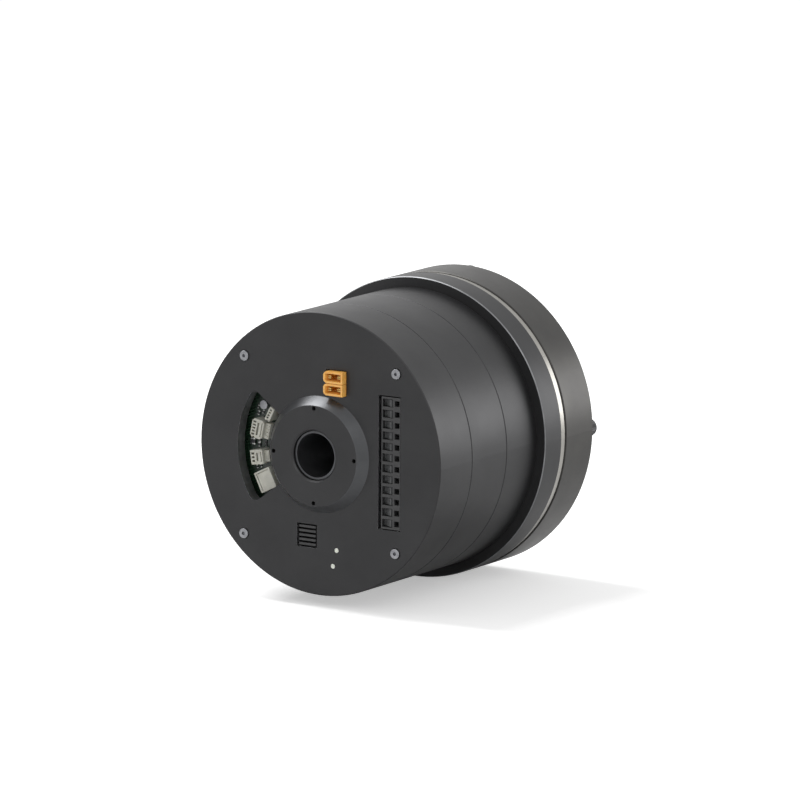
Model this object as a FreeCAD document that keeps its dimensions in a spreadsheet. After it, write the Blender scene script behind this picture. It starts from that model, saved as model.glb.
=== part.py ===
import FreeCAD, Part
import math
import os
import types

import Sketcher

# A hollow-shaft rotary joint actuator: a frameless motor turns an elliptical cam
# inside a strain-wave gear, and the gear turns the output flange.
# The axis is Y. The output end points along +Y and the rear cover along -Y.
# Y = 0 is the front face of the bearing ring, which bolts to a robot arm. Z is up.

V = FreeCAD.Vector
UPRIGHT = FreeCAD.Rotation()
AROUND_Y = V(0, 1, 0)

doc = FreeCAD.newDocument("joint_actuator")

# ---------------------------------------------------------------- sizes, mm
SIZES = [
    # casing, from the front to the rear
    ("ring_diameter", 142.0, "bearing ring and housing flange"),
    ("barrel_diameter", 132.0, "housings behind the flange"),
    ("ring_length", 23.4, "bearing ring"),
    ("strip_length", 4.0, "rim of the flexspline between ring and housing"),
    ("strip_step", 0.5, "how far that rim sits below the ring"),
    ("flange_length", 14.2, "thick end of the front housing"),
    ("barrel_length", 25.5, "rest of the front housing"),
    ("middle_length", 29.4, "middle housing"),
    ("cover_length", 26.8, "rear cover without its boss"),
    ("edge_break", 0.4, "chamfer on outside edges"),
    ("wall", 6.5, "wall round the motor"),
    ("cover_wall", 4.0, "side wall of the rear cover"),
    ("spigot_length", 3.0, "middle housing inside the cover's rim"),
    ("seal_section", 1.4, "square seal behind the flexspline's rim"),
    ("housing_screw", 3.0, "middle housing to front housing"),
    ("housing_screw_head", 5.5, ""),
    # rear cover
    ("cover_face", 6.0, "end wall of the cover"),
    ("boss_height", 4.9, "turned boss on the end wall"),
    ("boss_top_diameter", 46.9, ""),
    ("boss_foot_diameter", 54.6, ""),
    ("boss_hole_circle", 44.2, "tapped holes for a cable guide"),
    ("boss_hole", 2.0, ""),
    ("boss_hole_depth", 3.6, ""),
    ("cover_screw_inset", 3.05, "screw centres inside the cover's bore"),
    ("cover_screw", 2.5, ""),
    ("cover_screw_head", 4.7, ""),
    ("cover_head_height", 2.6, ""),
    ("pillar_diameter", 7.2, "round each cover screw, inside the cover"),
    ("window_diameter", 90.8, "outer edge of the connector window"),
    ("window_angle", 73.0, "its opening angle"),
    ("window_corner", 3.5, ""),
    ("slot_width", 12.0, "opening for the terminal block"),
    ("slot_height", 62.4, ""),
    ("slot_centre", 38.2, ""),
    ("louvre_size", 11.0, "square opening for the louvre"),
    ("louvre_x", -6.8, ""),
    ("louvre_z", -38.7, ""),
    ("socket_width", 10.6, "power sockets"),
    ("socket_height", 5.6, ""),
    ("socket_proud", 3.0, "above the end wall"),
    ("socket_x", 9.0, ""),
    ("socket_z", 34.1, "middle of the pair"),
    ("socket_pitch", 5.75, ""),
    ("socket_corner", 1.3, "bevelled corners on the polarised end"),
    ("socket_wall", 1.1, ""),
    ("socket_depth", 7.0, "inside each socket"),
    ("socket_pin", 2.0, ""),
    ("socket_pin_spacing", 4.9, ""),
    ("lamp_diameter", 2.2, "light pipes"),
    ("lamp_a_x", 9.6, ""),
    ("lamp_a_z", -43.9, ""),
    ("lamp_b_x", 7.6, ""),
    ("lamp_b_z", -51.5, ""),
    # cable bore
    ("tube_bore", 20.6, "clear bore for cables"),
    ("tube_wall", 1.0, ""),
    ("tube_gap", 0.3, "tube to the cover's lip"),
    ("tube_recess", 1.8, "tube end below the boss"),
    ("bush_wall", 1.6, "plain bush that steadies the tube"),
    ("bush_length", 6.0, ""),
    ("running_fit", 0.05, "shaft in bush, on the radius"),
    # cross-roller bearing and output flange
    ("roller_inset", 13.4, "roller centres inside the ring's edge"),
    ("roller_size", 4.0, "diameter and length"),
    ("roller_count", 36, ""),
    ("roller_fit", 0.03, ""),
    ("ring_gap", 0.35, "each ring to the roller circle"),
    ("hub_proud", 1.0, "output face in front of the ring"),
    ("hub_disc", 9.4, "thickness of the output disc"),
    ("hub_seal_width", 3.2, "wall of the output lip seal"),
    ("hub_seal_depth", 4.0, ""),
    ("case_bolt_inset", 5.0, "bolt centres inside the ring's edge"),
    ("case_bolt", 5.0, ""),
    ("case_bolt_head", 8.5, ""),
    ("mount_bolt_inset", 6.0, "the mount's own circle, inside the case screws'"),
    ("mount_bolt", 4.0, "eight tapped holes in the ring's front face"),
    ("mount_tap_depth", 12.0, ""),
    ("output_bolt_circle", 76.0, "on the output face"),
    ("output_bolt", 6.0, ""),
    ("output_tap_depth", 7.5, ""),
    ("dowel", 5.0, "output dowel holes"),
    ("spline_bolt", 4.0, ""),
    # strain-wave gear
    ("gear_module", 0.8, ""),
    ("flexspline_teeth", 100, ""),
    ("tooth_difference", 2, "circular spline teeth minus flexspline teeth"),
    ("tooth_addendum", 0.45, ""),
    ("tooth_dedendum", 0.60, ""),
    ("tooth_backlash", 0.26, "slot width minus tooth width"),
    ("flank_angle", 20.0, ""),
    ("flexspline_wall", 1.0, "under the teeth"),
    ("diaphragm", 1.2, ""),
    ("race_wall", 1.6, "flexible races"),
    ("race_width", 9.0, ""),
    ("flex_ball", 5.0, ""),
    ("flex_ball_count", 17, ""),
    # shaft, its two bearings and the motor
    ("shaft_diameter", 35.0, ""),
    ("shaft_bore", 26.0, ""),
    ("bearing_diameter", 47.0, ""),
    ("bearing_width", 7.0, ""),
    ("bearing_ring", 1.5, "radial thickness of each ring"),
    ("bearing_ball", 3.4, ""),
    ("bearing_ball_count", 14, ""),
    ("bearing_lip", 1.2, "shoulder that stops a bearing"),
    ("shaft_seal_width", 2.4, ""),
    ("web_recess", 3.6, "housing web behind the flexspline"),
    ("bulkhead_drop", 12.0, "bulkhead inside the middle housing"),
    ("stator_depth", 19.9, "radial depth of the stator"),
    ("slot_count", 18, "stator slots and coils"),
    ("tooth_width", 7.0, "stator tooth"),
    ("pole_shoe", 2.2, ""),
    ("yoke", 5.0, ""),
    ("coil_side", 3.0, ""),
    ("end_turn", 5.0, "coil ends beyond the stack"),
    ("coil_clearance", 1.45, "coil ends to the housing"),
    ("air_gap", 0.7, ""),
    ("magnet", 2.5, ""),
    ("magnet_count", 20, ""),
    ("rotor_rim", 3.4, ""),
    ("rotor_web", 5.0, ""),
    # holding brake
    ("brake_diameter", 68.0, ""),
    ("armature", 2.2, ""),
    ("brake_travel", 0.3, ""),
    ("brake_disc", 2.0, ""),
    ("brake_plate", 1.5, ""),
    ("brake_hub_flats", 40.0, ""),
    # encoders and electronics
    ("encoder_disc", 1.0, ""),
    ("input_disc_diameter", 52.0, ""),
    ("output_disc_diameter", 50.0, ""),
    ("reader_height", 1.2, ""),
    ("board", 1.6, ""),
    ("board_drop", 8.8, "control board below the end wall's outside"),
    ("board_space", 6.9, "between the two boards"),
    ("board_hole", 36.0, ""),
    ("standoff", 5.5, "diameter of the posts that carry the boards"),
    ("post_inset", 5.0, "post centres inside the boards' edge"),
    ("window_post_inset", 14.65, "the post that stands in the window"),
    ("board_screw", 2.5, ""),
    ("board_screw_head", 4.2, ""),
    ("board_head_height", 1.6, ""),
    ("capacitor_diameter", 8.0, ""),
    ("capacitor_height", 12.0, ""),
    ("capacitor_inset", 8.35, "capacitor centres inside the boards' edge"),
    ("header_height", 6.3, "signal headers above the control board"),
    ("header_wall", 0.9, ""),
    ("header_a_radius", 33.0, "middle of each header from the main axis"),
    ("header_a_depth", 2.8, ""),
    ("header_a_width", 6.9, ""),
    ("header_b_radius", 37.05, ""),
    ("header_b_depth", 6.5, ""),
    ("header_b_width", 9.0, ""),
    ("header_c_radius", 36.85, ""),
    ("header_c_depth", 6.7, ""),
    ("header_c_width", 6.8, ""),
    ("header_d_radius", 35.5, ""),
    ("header_d_depth", 9.0, ""),
    ("header_d_width", 9.9, ""),
    ("latch_depth", 2.5, "latch ramp beside the larger headers"),
    ("latch_height", 4.5, ""),
    ("terminal_pitch", 5.08, ""),
    ("terminal_count", 12, ""),
    ("terminal_width", 10.2, "terminal block across its slot"),
    ("terminal_rib", 1.4, "between two clamp levers"),
    ("wire_entry", 2.6, ""),
    ("lever_length", 5.7, ""),
    ("lever_drop", 3.4, ""),
    ("louvre_bar", 1.1, ""),
    ("louvre_pitch", 2.06, ""),
    ("louvre_length", 9.1, ""),
    ("louvre_plate", 0.8, ""),
]

sheet = doc.addObject("Spreadsheet::Sheet", "Sizes")
for row, (alias, value, note) in enumerate(SIZES, start=1):
    sheet.set("A%d" % row, alias)
    sheet.set("B%d" % row, str(value))
    sheet.setAlias("B%d" % row, alias)
    sheet.set("C%d" % row, note)
doc.recompute()


class Size:
    """A length with its number and the sheet expression that drives it."""

    def __init__(self, number, text):
        self.number = number
        self.text = text

    def __add__(self, other):
        other = as_size(other)
        return Size(self.number + other.number, "(%s + %s)" % (self.text, other.text))

    def __sub__(self, other):
        other = as_size(other)
        return Size(self.number - other.number, "(%s - %s)" % (self.text, other.text))

    def __mul__(self, other):
        other = as_size(other)
        return Size(self.number * other.number, "(%s * %s)" % (self.text, other.text))

    def __truediv__(self, other):
        other = as_size(other)
        return Size(self.number / other.number, "(%s / %s)" % (self.text, other.text))

    def __neg__(self):
        return Size(-self.number, "(0 - %s)" % self.text)

    __radd__ = __add__
    __rmul__ = __mul__


def as_size(value):
    if isinstance(value, Size):
        return value
    return Size(float(value), "%.6f" % value if value >= 0 else "(0 - %.6f)" % -value)


def along(angle, length):
    """The X part of a length that lies at an angle in degrees."""
    angle = as_size(angle)
    length = as_size(length)
    return Size(length.number * math.cos(math.radians(angle.number)),
                "(%s * cos(%s))" % (length.text, angle.text))


def across(angle, length):
    """The Z part of the same length."""
    angle = as_size(angle)
    length = as_size(length)
    return Size(length.number * math.sin(math.radians(angle.number)),
                "(%s * sin(%s))" % (length.text, angle.text))


s = types.SimpleNamespace(**{
    alias: Size(float(sheet.get(alias)), "Sizes." + alias) for alias, value, note in SIZES})

# -------------------------------------------------- stations along the axis
ring_back = -s.ring_length
strip_back = ring_back - s.strip_length
flange_back = strip_back - s.flange_length
barrel_back = flange_back - s.barrel_length
middle_back = barrel_back - s.middle_length
cover_back = middle_back - s.cover_length
boss_top = cover_back - s.boss_height
cover_inside = cover_back + s.cover_face

disc_back = s.hub_proud - s.hub_disc
hub_back = ring_back + 1.0
roller_y = ring_back / 2
diaphragm_front = ring_back - 1.3
diaphragm_back = diaphragm_front - s.diaphragm
rim_front = disc_back - 1.0

web_front = strip_back - s.web_recess
front_bearing_front = web_front - s.shaft_seal_width - s.bearing_lip
web_back = front_bearing_front - s.bearing_width
bulkhead_back = middle_back + s.bulkhead_drop
rear_bearing_back = bulkhead_back
bulkhead_front = rear_bearing_back + s.bearing_width + s.bearing_lip
rear_bearing_front = rear_bearing_back + s.bearing_width

control_back = cover_back + s.board_drop
control_front = control_back + s.board
power_back = control_front + s.board_space
power_front = power_back + s.board
shaft_back = power_front + s.reader_height + 0.3 + s.encoder_disc

# ------------------------------------------------------------------- radii
ring_radius = s.ring_diameter / 2
barrel_radius = s.barrel_diameter / 2
motor_radius = barrel_radius - s.wall
cover_bore = barrel_radius - s.cover_wall
tube_inner = s.tube_bore / 2
tube_outer = tube_inner + s.tube_wall
bush_bore = tube_outer + s.running_fit
lip_bore = tube_outer + s.tube_gap
roller_radius = ring_radius - s.roller_inset
ring_bore = roller_radius + s.ring_gap
hub_radius = roller_radius - s.ring_gap
spline_seat = hub_radius - 5.25
shaft_radius = s.shaft_diameter / 2
shaft_inner = s.shaft_bore / 2
bearing_radius = s.bearing_diameter / 2
stator_inner = motor_radius - s.stator_depth
rotor_radius = stator_inner - s.air_gap
screw_line = cover_bore - s.cover_screw_inset
board_radius = screw_line - s.pillar_diameter / 2 - 0.5


# ------------------------------------------------------------ model helpers
def plane_of(body, role):
    return [item for item in body.Origin.OriginFeatures if item.Role == role][0]


def sketch_on(body, name, role, offset=0.0):
    """An empty sketch on one of the body's own planes, moved along its normal."""
    sketch = body.newObject("Sketcher::SketchObject", name)
    sketch.AttachmentSupport = (plane_of(body, role), [""])
    sketch.MapMode = "FlatFace"
    offset = as_size(offset)
    sketch.AttachmentOffset = FreeCAD.Placement(V(0, 0, offset.number), UPRIGHT)
    sketch.setExpression("AttachmentOffset.Base.z", offset.text)
    return sketch


def place_point(sketch, geometry, end, x, y):
    """Hold one point of a sketch at a distance from its origin."""
    for kind, size in (("DistanceX", as_size(x)), ("DistanceY", as_size(y))):
        index = sketch.addConstraint(
            Sketcher.Constraint(kind, -1, 1, geometry, end, size.number))
        sketch.setExpression("Constraints[%d]" % index, size.text)


def outline(sketch, points):
    """A closed outline of straight lines through points driven by the sheet."""
    points = [(as_size(x), as_size(y)) for x, y in points]
    first = sketch.GeometryCount
    count = len(points)
    for index, (x, y) in enumerate(points):
        next_x, next_y = points[(index + 1) % count]
        sketch.addGeometry(Part.LineSegment(
            V(x.number, y.number, 0), V(next_x.number, next_y.number, 0)), False)
    for index in range(count):
        sketch.addConstraint(Sketcher.Constraint(
            "Coincident", first + index, 2, first + (index + 1) % count, 1))
    for index, (x, y) in enumerate(points):
        place_point(sketch, first + index, 1, x, y)


def rectangle(sketch, x, y, width, height):
    x, y = as_size(x), as_size(y)
    half_width = as_size(width) / 2
    half_height = as_size(height) / 2
    outline(sketch, [(x - half_width, y - half_height), (x + half_width, y - half_height),
                     (x + half_width, y + half_height), (x - half_width, y + half_height)])


def circle(sketch, x, y, radius):
    x, y, radius = as_size(x), as_size(y), as_size(radius)
    index = sketch.addGeometry(Part.Circle(V(x.number, y.number, 0), V(0, 0, 1), radius.number),
                               False)
    place_point(sketch, index, 3, x, y)
    limit = sketch.addConstraint(Sketcher.Constraint("Radius", index, radius.number))
    sketch.setExpression("Constraints[%d]" % limit, radius.text)


def new_body(label):
    body = doc.addObject("PartDesign::Body", label)
    body.Label = label
    body.AllowCompound = True
    return body


def turned(label, points, body=None):
    """A ring turned about the actuator's axis from its half section."""
    body = body or new_body(label)
    sketch = sketch_on(body, label + "_section", "XY_Plane")
    outline(sketch, points)
    ring = body.newObject("PartDesign::Revolution", label + "_turned")
    ring.Profile = sketch
    ring.ReferenceAxis = (sketch, ["V_Axis"])
    ring.Angle = 360
    doc.recompute()
    return body


def turned_aside(label, x, points, body=None):
    """A round piece turned about a line that is parallel to the main axis."""
    body = body or new_body(label)
    x = as_size(x)
    sketch = sketch_on(body, label + "_section", "XY_Plane")
    outline(sketch, [(x + radius, y) for radius, y in points])
    centre = sketch.addGeometry(Part.LineSegment(V(x.number, 0, 0), V(x.number, -9, 0)), True)
    place_point(sketch, centre, 1, x, 0)
    place_point(sketch, centre, 2, x, -9)
    piece = body.newObject("PartDesign::Revolution", label + "_turned")
    piece.Profile = sketch
    piece.ReferenceAxis = (sketch, ["Axis0"])
    piece.Angle = 360
    doc.recompute()
    return body, piece


def set_length(feature, length):
    length = as_size(length)
    feature.Length = length.number
    feature.setExpression("Length", length.text)


def pad(body, sketch, length, forward=False):
    """Add material from a sketch. Sketches across the axis face the rear."""
    feature = body.newObject("PartDesign::Pad", sketch.Name + "_pad")
    feature.Profile = sketch
    set_length(feature, length)
    feature.Reversed = forward
    doc.recompute()
    return feature


def pocket(body, sketch, length, forward):
    """Cut from a sketch, and stop if the cut misses the solid."""
    before = body.Shape.Volume
    feature = body.newObject("PartDesign::Pocket", sketch.Name + "_cut")
    feature.Profile = sketch
    set_length(feature, length)
    feature.Reversed = not forward
    doc.recompute()
    if body.Shape.Volume >= before - 1e-6:
        raise RuntimeError("%s cuts nothing" % sketch.Name)
    return feature


def around(body, feature, count):
    """Repeat a feature round the main axis."""
    count = as_size(count)
    pattern = body.newObject("PartDesign::PolarPattern", feature.Name + "_ring")
    pattern.Originals = [feature]
    pattern.Axis = (plane_of(body, "Y_Axis"), [""])
    pattern.Angle = 360
    pattern.Occurrences = int(round(count.number))
    pattern.setExpression("Occurrences", count.text)
    body.Tip = pattern
    doc.recompute()
    return pattern


def turn(body, angle):
    """Turn a finished piece about the main axis."""
    angle = as_size(angle)
    body.Placement = FreeCAD.Placement(V(), FreeCAD.Rotation(AROUND_Y, angle.number))
    body.setExpression("Placement.Rotation.Angle", angle.text)
    doc.recompute()


def holes(body, name, circle_radius, angle, radius, y, depth, forward, count):
    """A ring of round holes that start at y and run forward or back."""
    sketch = sketch_on(body, name, "XZ_Plane", -as_size(y))
    circle(sketch, along(angle, circle_radius), across(angle, circle_radius), radius)
    cut = pocket(body, sketch, depth, forward)
    if as_size(count).number > 1:
        around(body, cut, count)


def screw(label, circle_radius, radius, head_radius, head_back, head_height, tip,
          count, towards_front, socket):
    """A ring of socket-head screws with their shanks on a bolt circle."""
    sign = 1 if towards_front else -1
    face = head_back + sign * head_height
    points = [(socket, face), (head_radius - 0.3, face), (head_radius, face - sign * as_size(0.3)),
              (head_radius, head_back), (radius, head_back), (radius, tip), (0, tip),
              (0, face - sign * head_height * 0.55), (socket, face - sign * head_height * 0.55)]
    body, piece = turned_aside(label, circle_radius, points)
    around(body, piece, count)
    return body


def ellipse_tube(label, outer, inner, back, front):
    """A tube whose outside and inside are ellipses, (long, short) half axes."""
    prisms = []
    for name, axes in (("outside", outer), ("inside", inner)):
        curve = doc.addObject("Part::Ellipse", label + "_" + name)
        curve.MajorRadius = axes[0].number
        curve.MinorRadius = axes[1].number
        curve.setExpression("MajorRadius", axes[0].text)
        curve.setExpression("MinorRadius", axes[1].text)
        curve.Placement = FreeCAD.Placement(V(0, back.number, 0),
                                            FreeCAD.Rotation(V(1, 0, 0), 90))
        curve.setExpression("Placement.Base.y", back.text)
        prism = doc.addObject("Part::Extrusion", label + "_" + name + "_prism")
        prism.Base = curve
        prism.DirMode = "Custom"
        prism.Dir = V(0, 1, 0)
        prism.LengthFwd = (front - back).number
        prism.setExpression("LengthFwd", (front - back).text)
        prism.Solid = True
        prisms.append(prism)
    tube = doc.addObject("Part::Cut", label)
    tube.Base, tube.Tool = prisms
    tube.Label = label
    doc.recompute()
    return tube


pieces = []


def keep(*found):
    """Note finished pieces for the checks and the export at the end."""
    pieces.extend(found)


# ------------------------------------------------------------- rear cover
bush_back = cover_back + 2.0
bush_front = bush_back + s.bush_length
bush_seat = bush_bore + s.bush_wall
seat_back = middle_back - s.spigot_length
boss_lip = 0.8

cover = turned("rear_cover", [
    (cover_bore, middle_back),
    (barrel_radius - s.edge_break, middle_back),
    (barrel_radius, middle_back - s.edge_break),
    (barrel_radius, cover_back + s.edge_break),
    (barrel_radius - s.edge_break, cover_back),
    (s.boss_foot_diameter / 2, cover_back),
    (s.boss_top_diameter / 2, boss_top),
    (lip_bore + boss_lip, boss_top),
    (lip_bore, boss_top + boss_lip),
    (lip_bore, bush_back),
    (bush_seat, bush_back),
    (bush_seat, bush_front),
    (bush_seat + 3.0, bush_front),
    (bush_seat + 3.0, cover_inside),
    (cover_bore, cover_inside)])

pillars = sketch_on(cover, "pillars", "XZ_Plane", -cover_inside)
circle(pillars, along(45, screw_line), across(45, screw_line), s.pillar_diameter / 2)
around(cover, pad(cover, pillars, seat_back - cover_inside, forward=True), 4)
holes(cover, "screw_sinks", screw_line, 45, s.cover_screw_head / 2 + 0.3, cover_back, 2.0,
      True, 4)
holes(cover, "screw_holes", screw_line, 45, s.cover_screw / 2 + 0.2, cover_back,
      seat_back - cover_back, True, 4)
holes(cover, "boss_holes", s.boss_hole_circle / 2, 0, s.boss_hole / 2, boss_top,
      s.boss_hole_depth, True, 4)


def sector(sketch, inner, outer, middle, spread):
    """An opening between two arcs round the main axis and two radial lines."""
    inner, outer = as_size(inner), as_size(outer)
    middle, spread = as_size(middle), as_size(spread)
    low = middle - spread / 2
    high = middle + spread / 2
    origin = V(0, 0, 0)
    start, stop = math.radians(low.number), math.radians(high.number)
    for radius in (inner, outer):
        arc = sketch.addGeometry(Part.ArcOfCircle(
            Part.Circle(origin, V(0, 0, 1), radius.number), start, stop), False)
        sketch.addConstraint(Sketcher.Constraint("Coincident", arc, 3, -1, 1))
        limit = sketch.addConstraint(Sketcher.Constraint("Radius", arc, radius.number))
        sketch.setExpression("Constraints[%d]" % limit, radius.text)
    for angle, end in ((low, 1), (high, 2)):
        near = V(along(angle, inner).number, across(angle, inner).number, 0)
        far = V(along(angle, outer).number, across(angle, outer).number, 0)
        line = sketch.addGeometry(Part.LineSegment(near, far), False)
        inner_arc = line - 2 if end == 1 else line - 3
        sketch.addConstraint(Sketcher.Constraint("Coincident", line, 1, inner_arc, end))
        sketch.addConstraint(Sketcher.Constraint("Coincident", line, 2, inner_arc + 1, end))
        place_point(sketch, line, 2, along(angle, outer), across(angle, outer))
        index = sketch.ConstraintCount - 1
        sketch.delConstraint(index if abs(near.y) < abs(near.x) * 0.2 else index - 1)
        sketch.addConstraint(Sketcher.Constraint("PointOnObject", -1, 1, line))


window_inner = s.boss_foot_diameter / 2 + 0.2
window = sketch_on(cover, "window", "XZ_Plane", -cover_back)
sector(window, window_inner, s.window_diameter / 2, 180, s.window_angle)
pocket(cover, window, s.cover_face, True)


def straight_edges(shape, found):
    """Names of the edges along the axis whose middle passes a test."""
    names = []
    for index, edge in enumerate(shape.Edges, start=1):
        box = edge.BoundBox
        if box.XLength < 1e-4 and box.ZLength < 1e-4 and box.YLength > 1e-3:
            if found(math.hypot(box.XMin, box.ZMin), box.XMin, box.ZMin):
                names.append("Edge%d" % index)
    return names


def fillet(body, name, found, radius):
    """Round the straight edges along the axis that pass a test."""
    base = body.Tip
    feature = body.newObject("PartDesign::Fillet", name)
    feature.Base = (base, straight_edges(base.Shape, found))
    feature.Radius = radius.number
    feature.setExpression("Radius", radius.text)
    doc.recompute()
    return feature


def window_corner(radius, x, z):
    return abs(radius - s.window_diameter.number / 2) < 0.01


fillet(cover, "window_corners", window_corner, s.window_corner)

openings = sketch_on(cover, "face_openings", "XZ_Plane", -cover_back)
rectangle(openings, s.slot_centre, 0, s.slot_width, s.slot_height)
rectangle(openings, s.louvre_x, s.louvre_z, s.louvre_size, s.louvre_size)
rectangle(openings, s.socket_x, s.socket_z, s.socket_width + 0.6,
          s.socket_pitch + s.socket_height + 0.6)
circle(openings, s.lamp_a_x, s.lamp_a_z, s.lamp_diameter / 2)
circle(openings, s.lamp_b_x, s.lamp_b_z, s.lamp_diameter / 2)
pocket(cover, openings, s.cover_face, True)

cover_screws = screw("cover_screws", screw_line, s.cover_screw / 2, s.cover_screw_head / 2,
                     cover_back + 2.0, s.cover_head_height, seat_back + 6.2, 4, False,
                     s.cover_screw / 2)
turn(cover_screws, 45)

bush = turned("tube_bush", [
    (bush_bore, bush_back),
    (bush_seat, bush_back),
    (bush_seat, bush_front),
    (bush_bore, bush_front)])
keep(cover, cover_screws, bush)

# ---------------------------------------------------------- middle housing
spigot_radius = cover_bore - 0.1
lip_radius = bearing_radius - s.bearing_lip
wall_line = (motor_radius + barrel_radius) / 2
lug_radius = s.pillar_diameter / 2 - 0.7

middle = turned("middle_housing", [
    (motor_radius, barrel_back),
    (barrel_radius - s.edge_break, barrel_back),
    (barrel_radius, barrel_back - s.edge_break),
    (barrel_radius, middle_back + s.edge_break),
    (barrel_radius - s.edge_break, middle_back),
    (spigot_radius, middle_back),
    (spigot_radius, seat_back),
    (motor_radius, seat_back),
    (motor_radius, bulkhead_back),
    (bearing_radius, bulkhead_back),
    (bearing_radius, rear_bearing_front),
    (lip_radius, rear_bearing_front),
    (lip_radius, bulkhead_front),
    (motor_radius, bulkhead_front)])
lugs = sketch_on(middle, "lugs", "XZ_Plane", -seat_back)
circle(lugs, along(45, screw_line), across(45, screw_line), lug_radius)
around(middle, pad(middle, lugs, bulkhead_back - seat_back, forward=True), 4)
holes(middle, "cover_taps", screw_line, 45, s.cover_screw / 2, seat_back, 7.0, True, 4)
holes(middle, "housing_sinks", wall_line, 30, s.housing_screw_head / 2 + 0.15, seat_back,
      s.spigot_length + 3.4, True, 6)
holes(middle, "housing_holes", wall_line, 30, s.housing_screw / 2 + 0.2,
      middle_back + 3.4, s.middle_length - 3.4, True, 6)
posts = []
for angle, inset in ((153.2, s.window_post_inset), (63.4, s.post_inset),
                     (296.6, s.post_inset), (244.4, s.post_inset)):
    line = board_radius - inset
    posts.append((along(angle, line), across(angle, line)))
post_taps = sketch_on(middle, "post_taps", "XZ_Plane", -bulkhead_back)
for x, z in posts:
    circle(post_taps, x, z, s.board_screw / 2)
pocket(middle, post_taps, 5.0, True)

housing_screws = screw("housing_screws", wall_line, s.housing_screw / 2,
                       s.housing_screw_head / 2, middle_back + 3.4, s.housing_screw,
                       barrel_back + 7.0, 6, False, s.housing_screw / 2.4)
turn(housing_screws, 30)
keep(middle, housing_screws)

# ----------------------------------------------------------- front housing
recess_radius = ring_radius - 11.0
case_line = ring_radius - s.case_bolt_inset
mount_line = ring_radius - s.mount_bolt_inset
seal_back = front_bearing_front + s.bearing_lip
case_seal_inner = recess_radius + 1.2

front = turned("front_housing", [
    (recess_radius, strip_back),
    (ring_radius - s.edge_break, strip_back),
    (ring_radius, strip_back - s.edge_break),
    (ring_radius, flange_back + s.edge_break),
    (ring_radius - s.edge_break, flange_back),
    (barrel_radius, flange_back),
    (barrel_radius, barrel_back + s.edge_break),
    (barrel_radius - s.edge_break, barrel_back),
    (motor_radius, barrel_back),
    (motor_radius, web_back),
    (bearing_radius, web_back),
    (bearing_radius, front_bearing_front),
    (lip_radius, front_bearing_front),
    (lip_radius, seal_back),
    (bearing_radius, seal_back),
    (bearing_radius, web_front),
    (recess_radius, web_front)])
seal_groove = sketch_on(front, "seal_groove", "XZ_Plane", -strip_back)
circle(seal_groove, 0, 0, case_seal_inner)
circle(seal_groove, 0, 0, case_seal_inner + s.seal_section)
pocket(front, seal_groove, s.seal_section, False)
holes(front, "case_taps", case_line, 0, s.case_bolt / 2, strip_back, 11.0, False, 4)
holes(front, "housing_taps", wall_line, 30, s.housing_screw / 2, barrel_back, 9.0, True, 6)

case_seal = turned("case_seal", [
    (case_seal_inner, strip_back),
    (case_seal_inner + s.seal_section, strip_back),
    (case_seal_inner + s.seal_section, strip_back - s.seal_section),
    (case_seal_inner, strip_back - s.seal_section)])
case_screws = screw("case_screws", case_line, s.case_bolt / 2, s.case_bolt_head / 2, 0,
                    s.case_bolt, strip_back - 10.6, 4, True, s.case_bolt / 2.5)
shaft_seal = turned("shaft_seal", [
    (shaft_radius + 1.1 + s.running_fit, seal_back),
    (bearing_radius, seal_back),
    (bearing_radius, web_front),
    (shaft_radius + 1.1 + s.running_fit, web_front)])
keep(front, case_seal, case_screws, shaft_seal)

# ------------------------------------- cross-roller bearing and output end
half_diagonal = s.roller_size * (math.sqrt(2) / 2) + s.roller_fit * 1.5
mouth = half_diagonal - s.ring_gap
seal_outer = ring_bore + s.hub_seal_width
tube_flange = tube_outer + 6.7
spline_root = s.gear_module * s.flexspline_teeth / 2 + s.gear_module * 1.81
spline_line = (spline_seat + spline_root) / 2 + 0.4
flange_floor = s.hub_proud - 2.5

ring = turned("bearing_ring", [
    (ring_bore, ring_back),
    (ring_radius - s.edge_break, ring_back),
    (ring_radius, ring_back + s.edge_break),
    (ring_radius, -s.edge_break),
    (ring_radius - s.edge_break, 0),
    (seal_outer, 0),
    (seal_outer, -s.hub_seal_depth),
    (ring_bore, -s.hub_seal_depth),
    (ring_bore, roller_y + mouth),
    (roller_radius + half_diagonal, roller_y),
    (ring_bore, roller_y - mouth)])
holes(ring, "mount_taps", mount_line, 22.5, s.mount_bolt / 2, 0, s.mount_tap_depth, False, 8)
holes(ring, "screw_holes_ring", case_line, 0, s.case_bolt / 2 + 0.25, 0, s.ring_length,
      False, 4)

output = turned("output_flange", [
    (hub_radius, hub_back),
    (hub_radius, roller_y - mouth),
    (roller_radius - half_diagonal, roller_y),
    (hub_radius, roller_y + mouth),
    (hub_radius, s.hub_proud - s.edge_break),
    (hub_radius - s.edge_break, s.hub_proud),
    (tube_flange, s.hub_proud),
    (tube_flange, flange_floor),
    (tube_outer, flange_floor),
    (tube_outer, disc_back),
    (spline_seat, disc_back),
    (spline_seat, hub_back)])
holes(output, "output_taps", s.output_bolt_circle / 2, 0, s.output_bolt / 2, s.hub_proud,
      s.output_tap_depth, False, 8)
holes(output, "dowel_holes", s.output_bolt_circle / 2, 22.5, s.dowel / 2, s.hub_proud,
      s.output_tap_depth, False, 2)
holes(output, "spline_taps", spline_line, 22.5, s.spline_bolt / 2, disc_back,
      6.0, True, 8)
holes(output, "tube_taps", tube_outer + 3.6, 45, 1.0, flange_floor, 4.5, False, 4)

output_seal = turned("output_seal", [
    (hub_radius + s.running_fit, -s.hub_seal_depth),
    (seal_outer, -s.hub_seal_depth),
    (seal_outer, -0.3),
    (hub_radius + s.running_fit, -0.3)])

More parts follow.
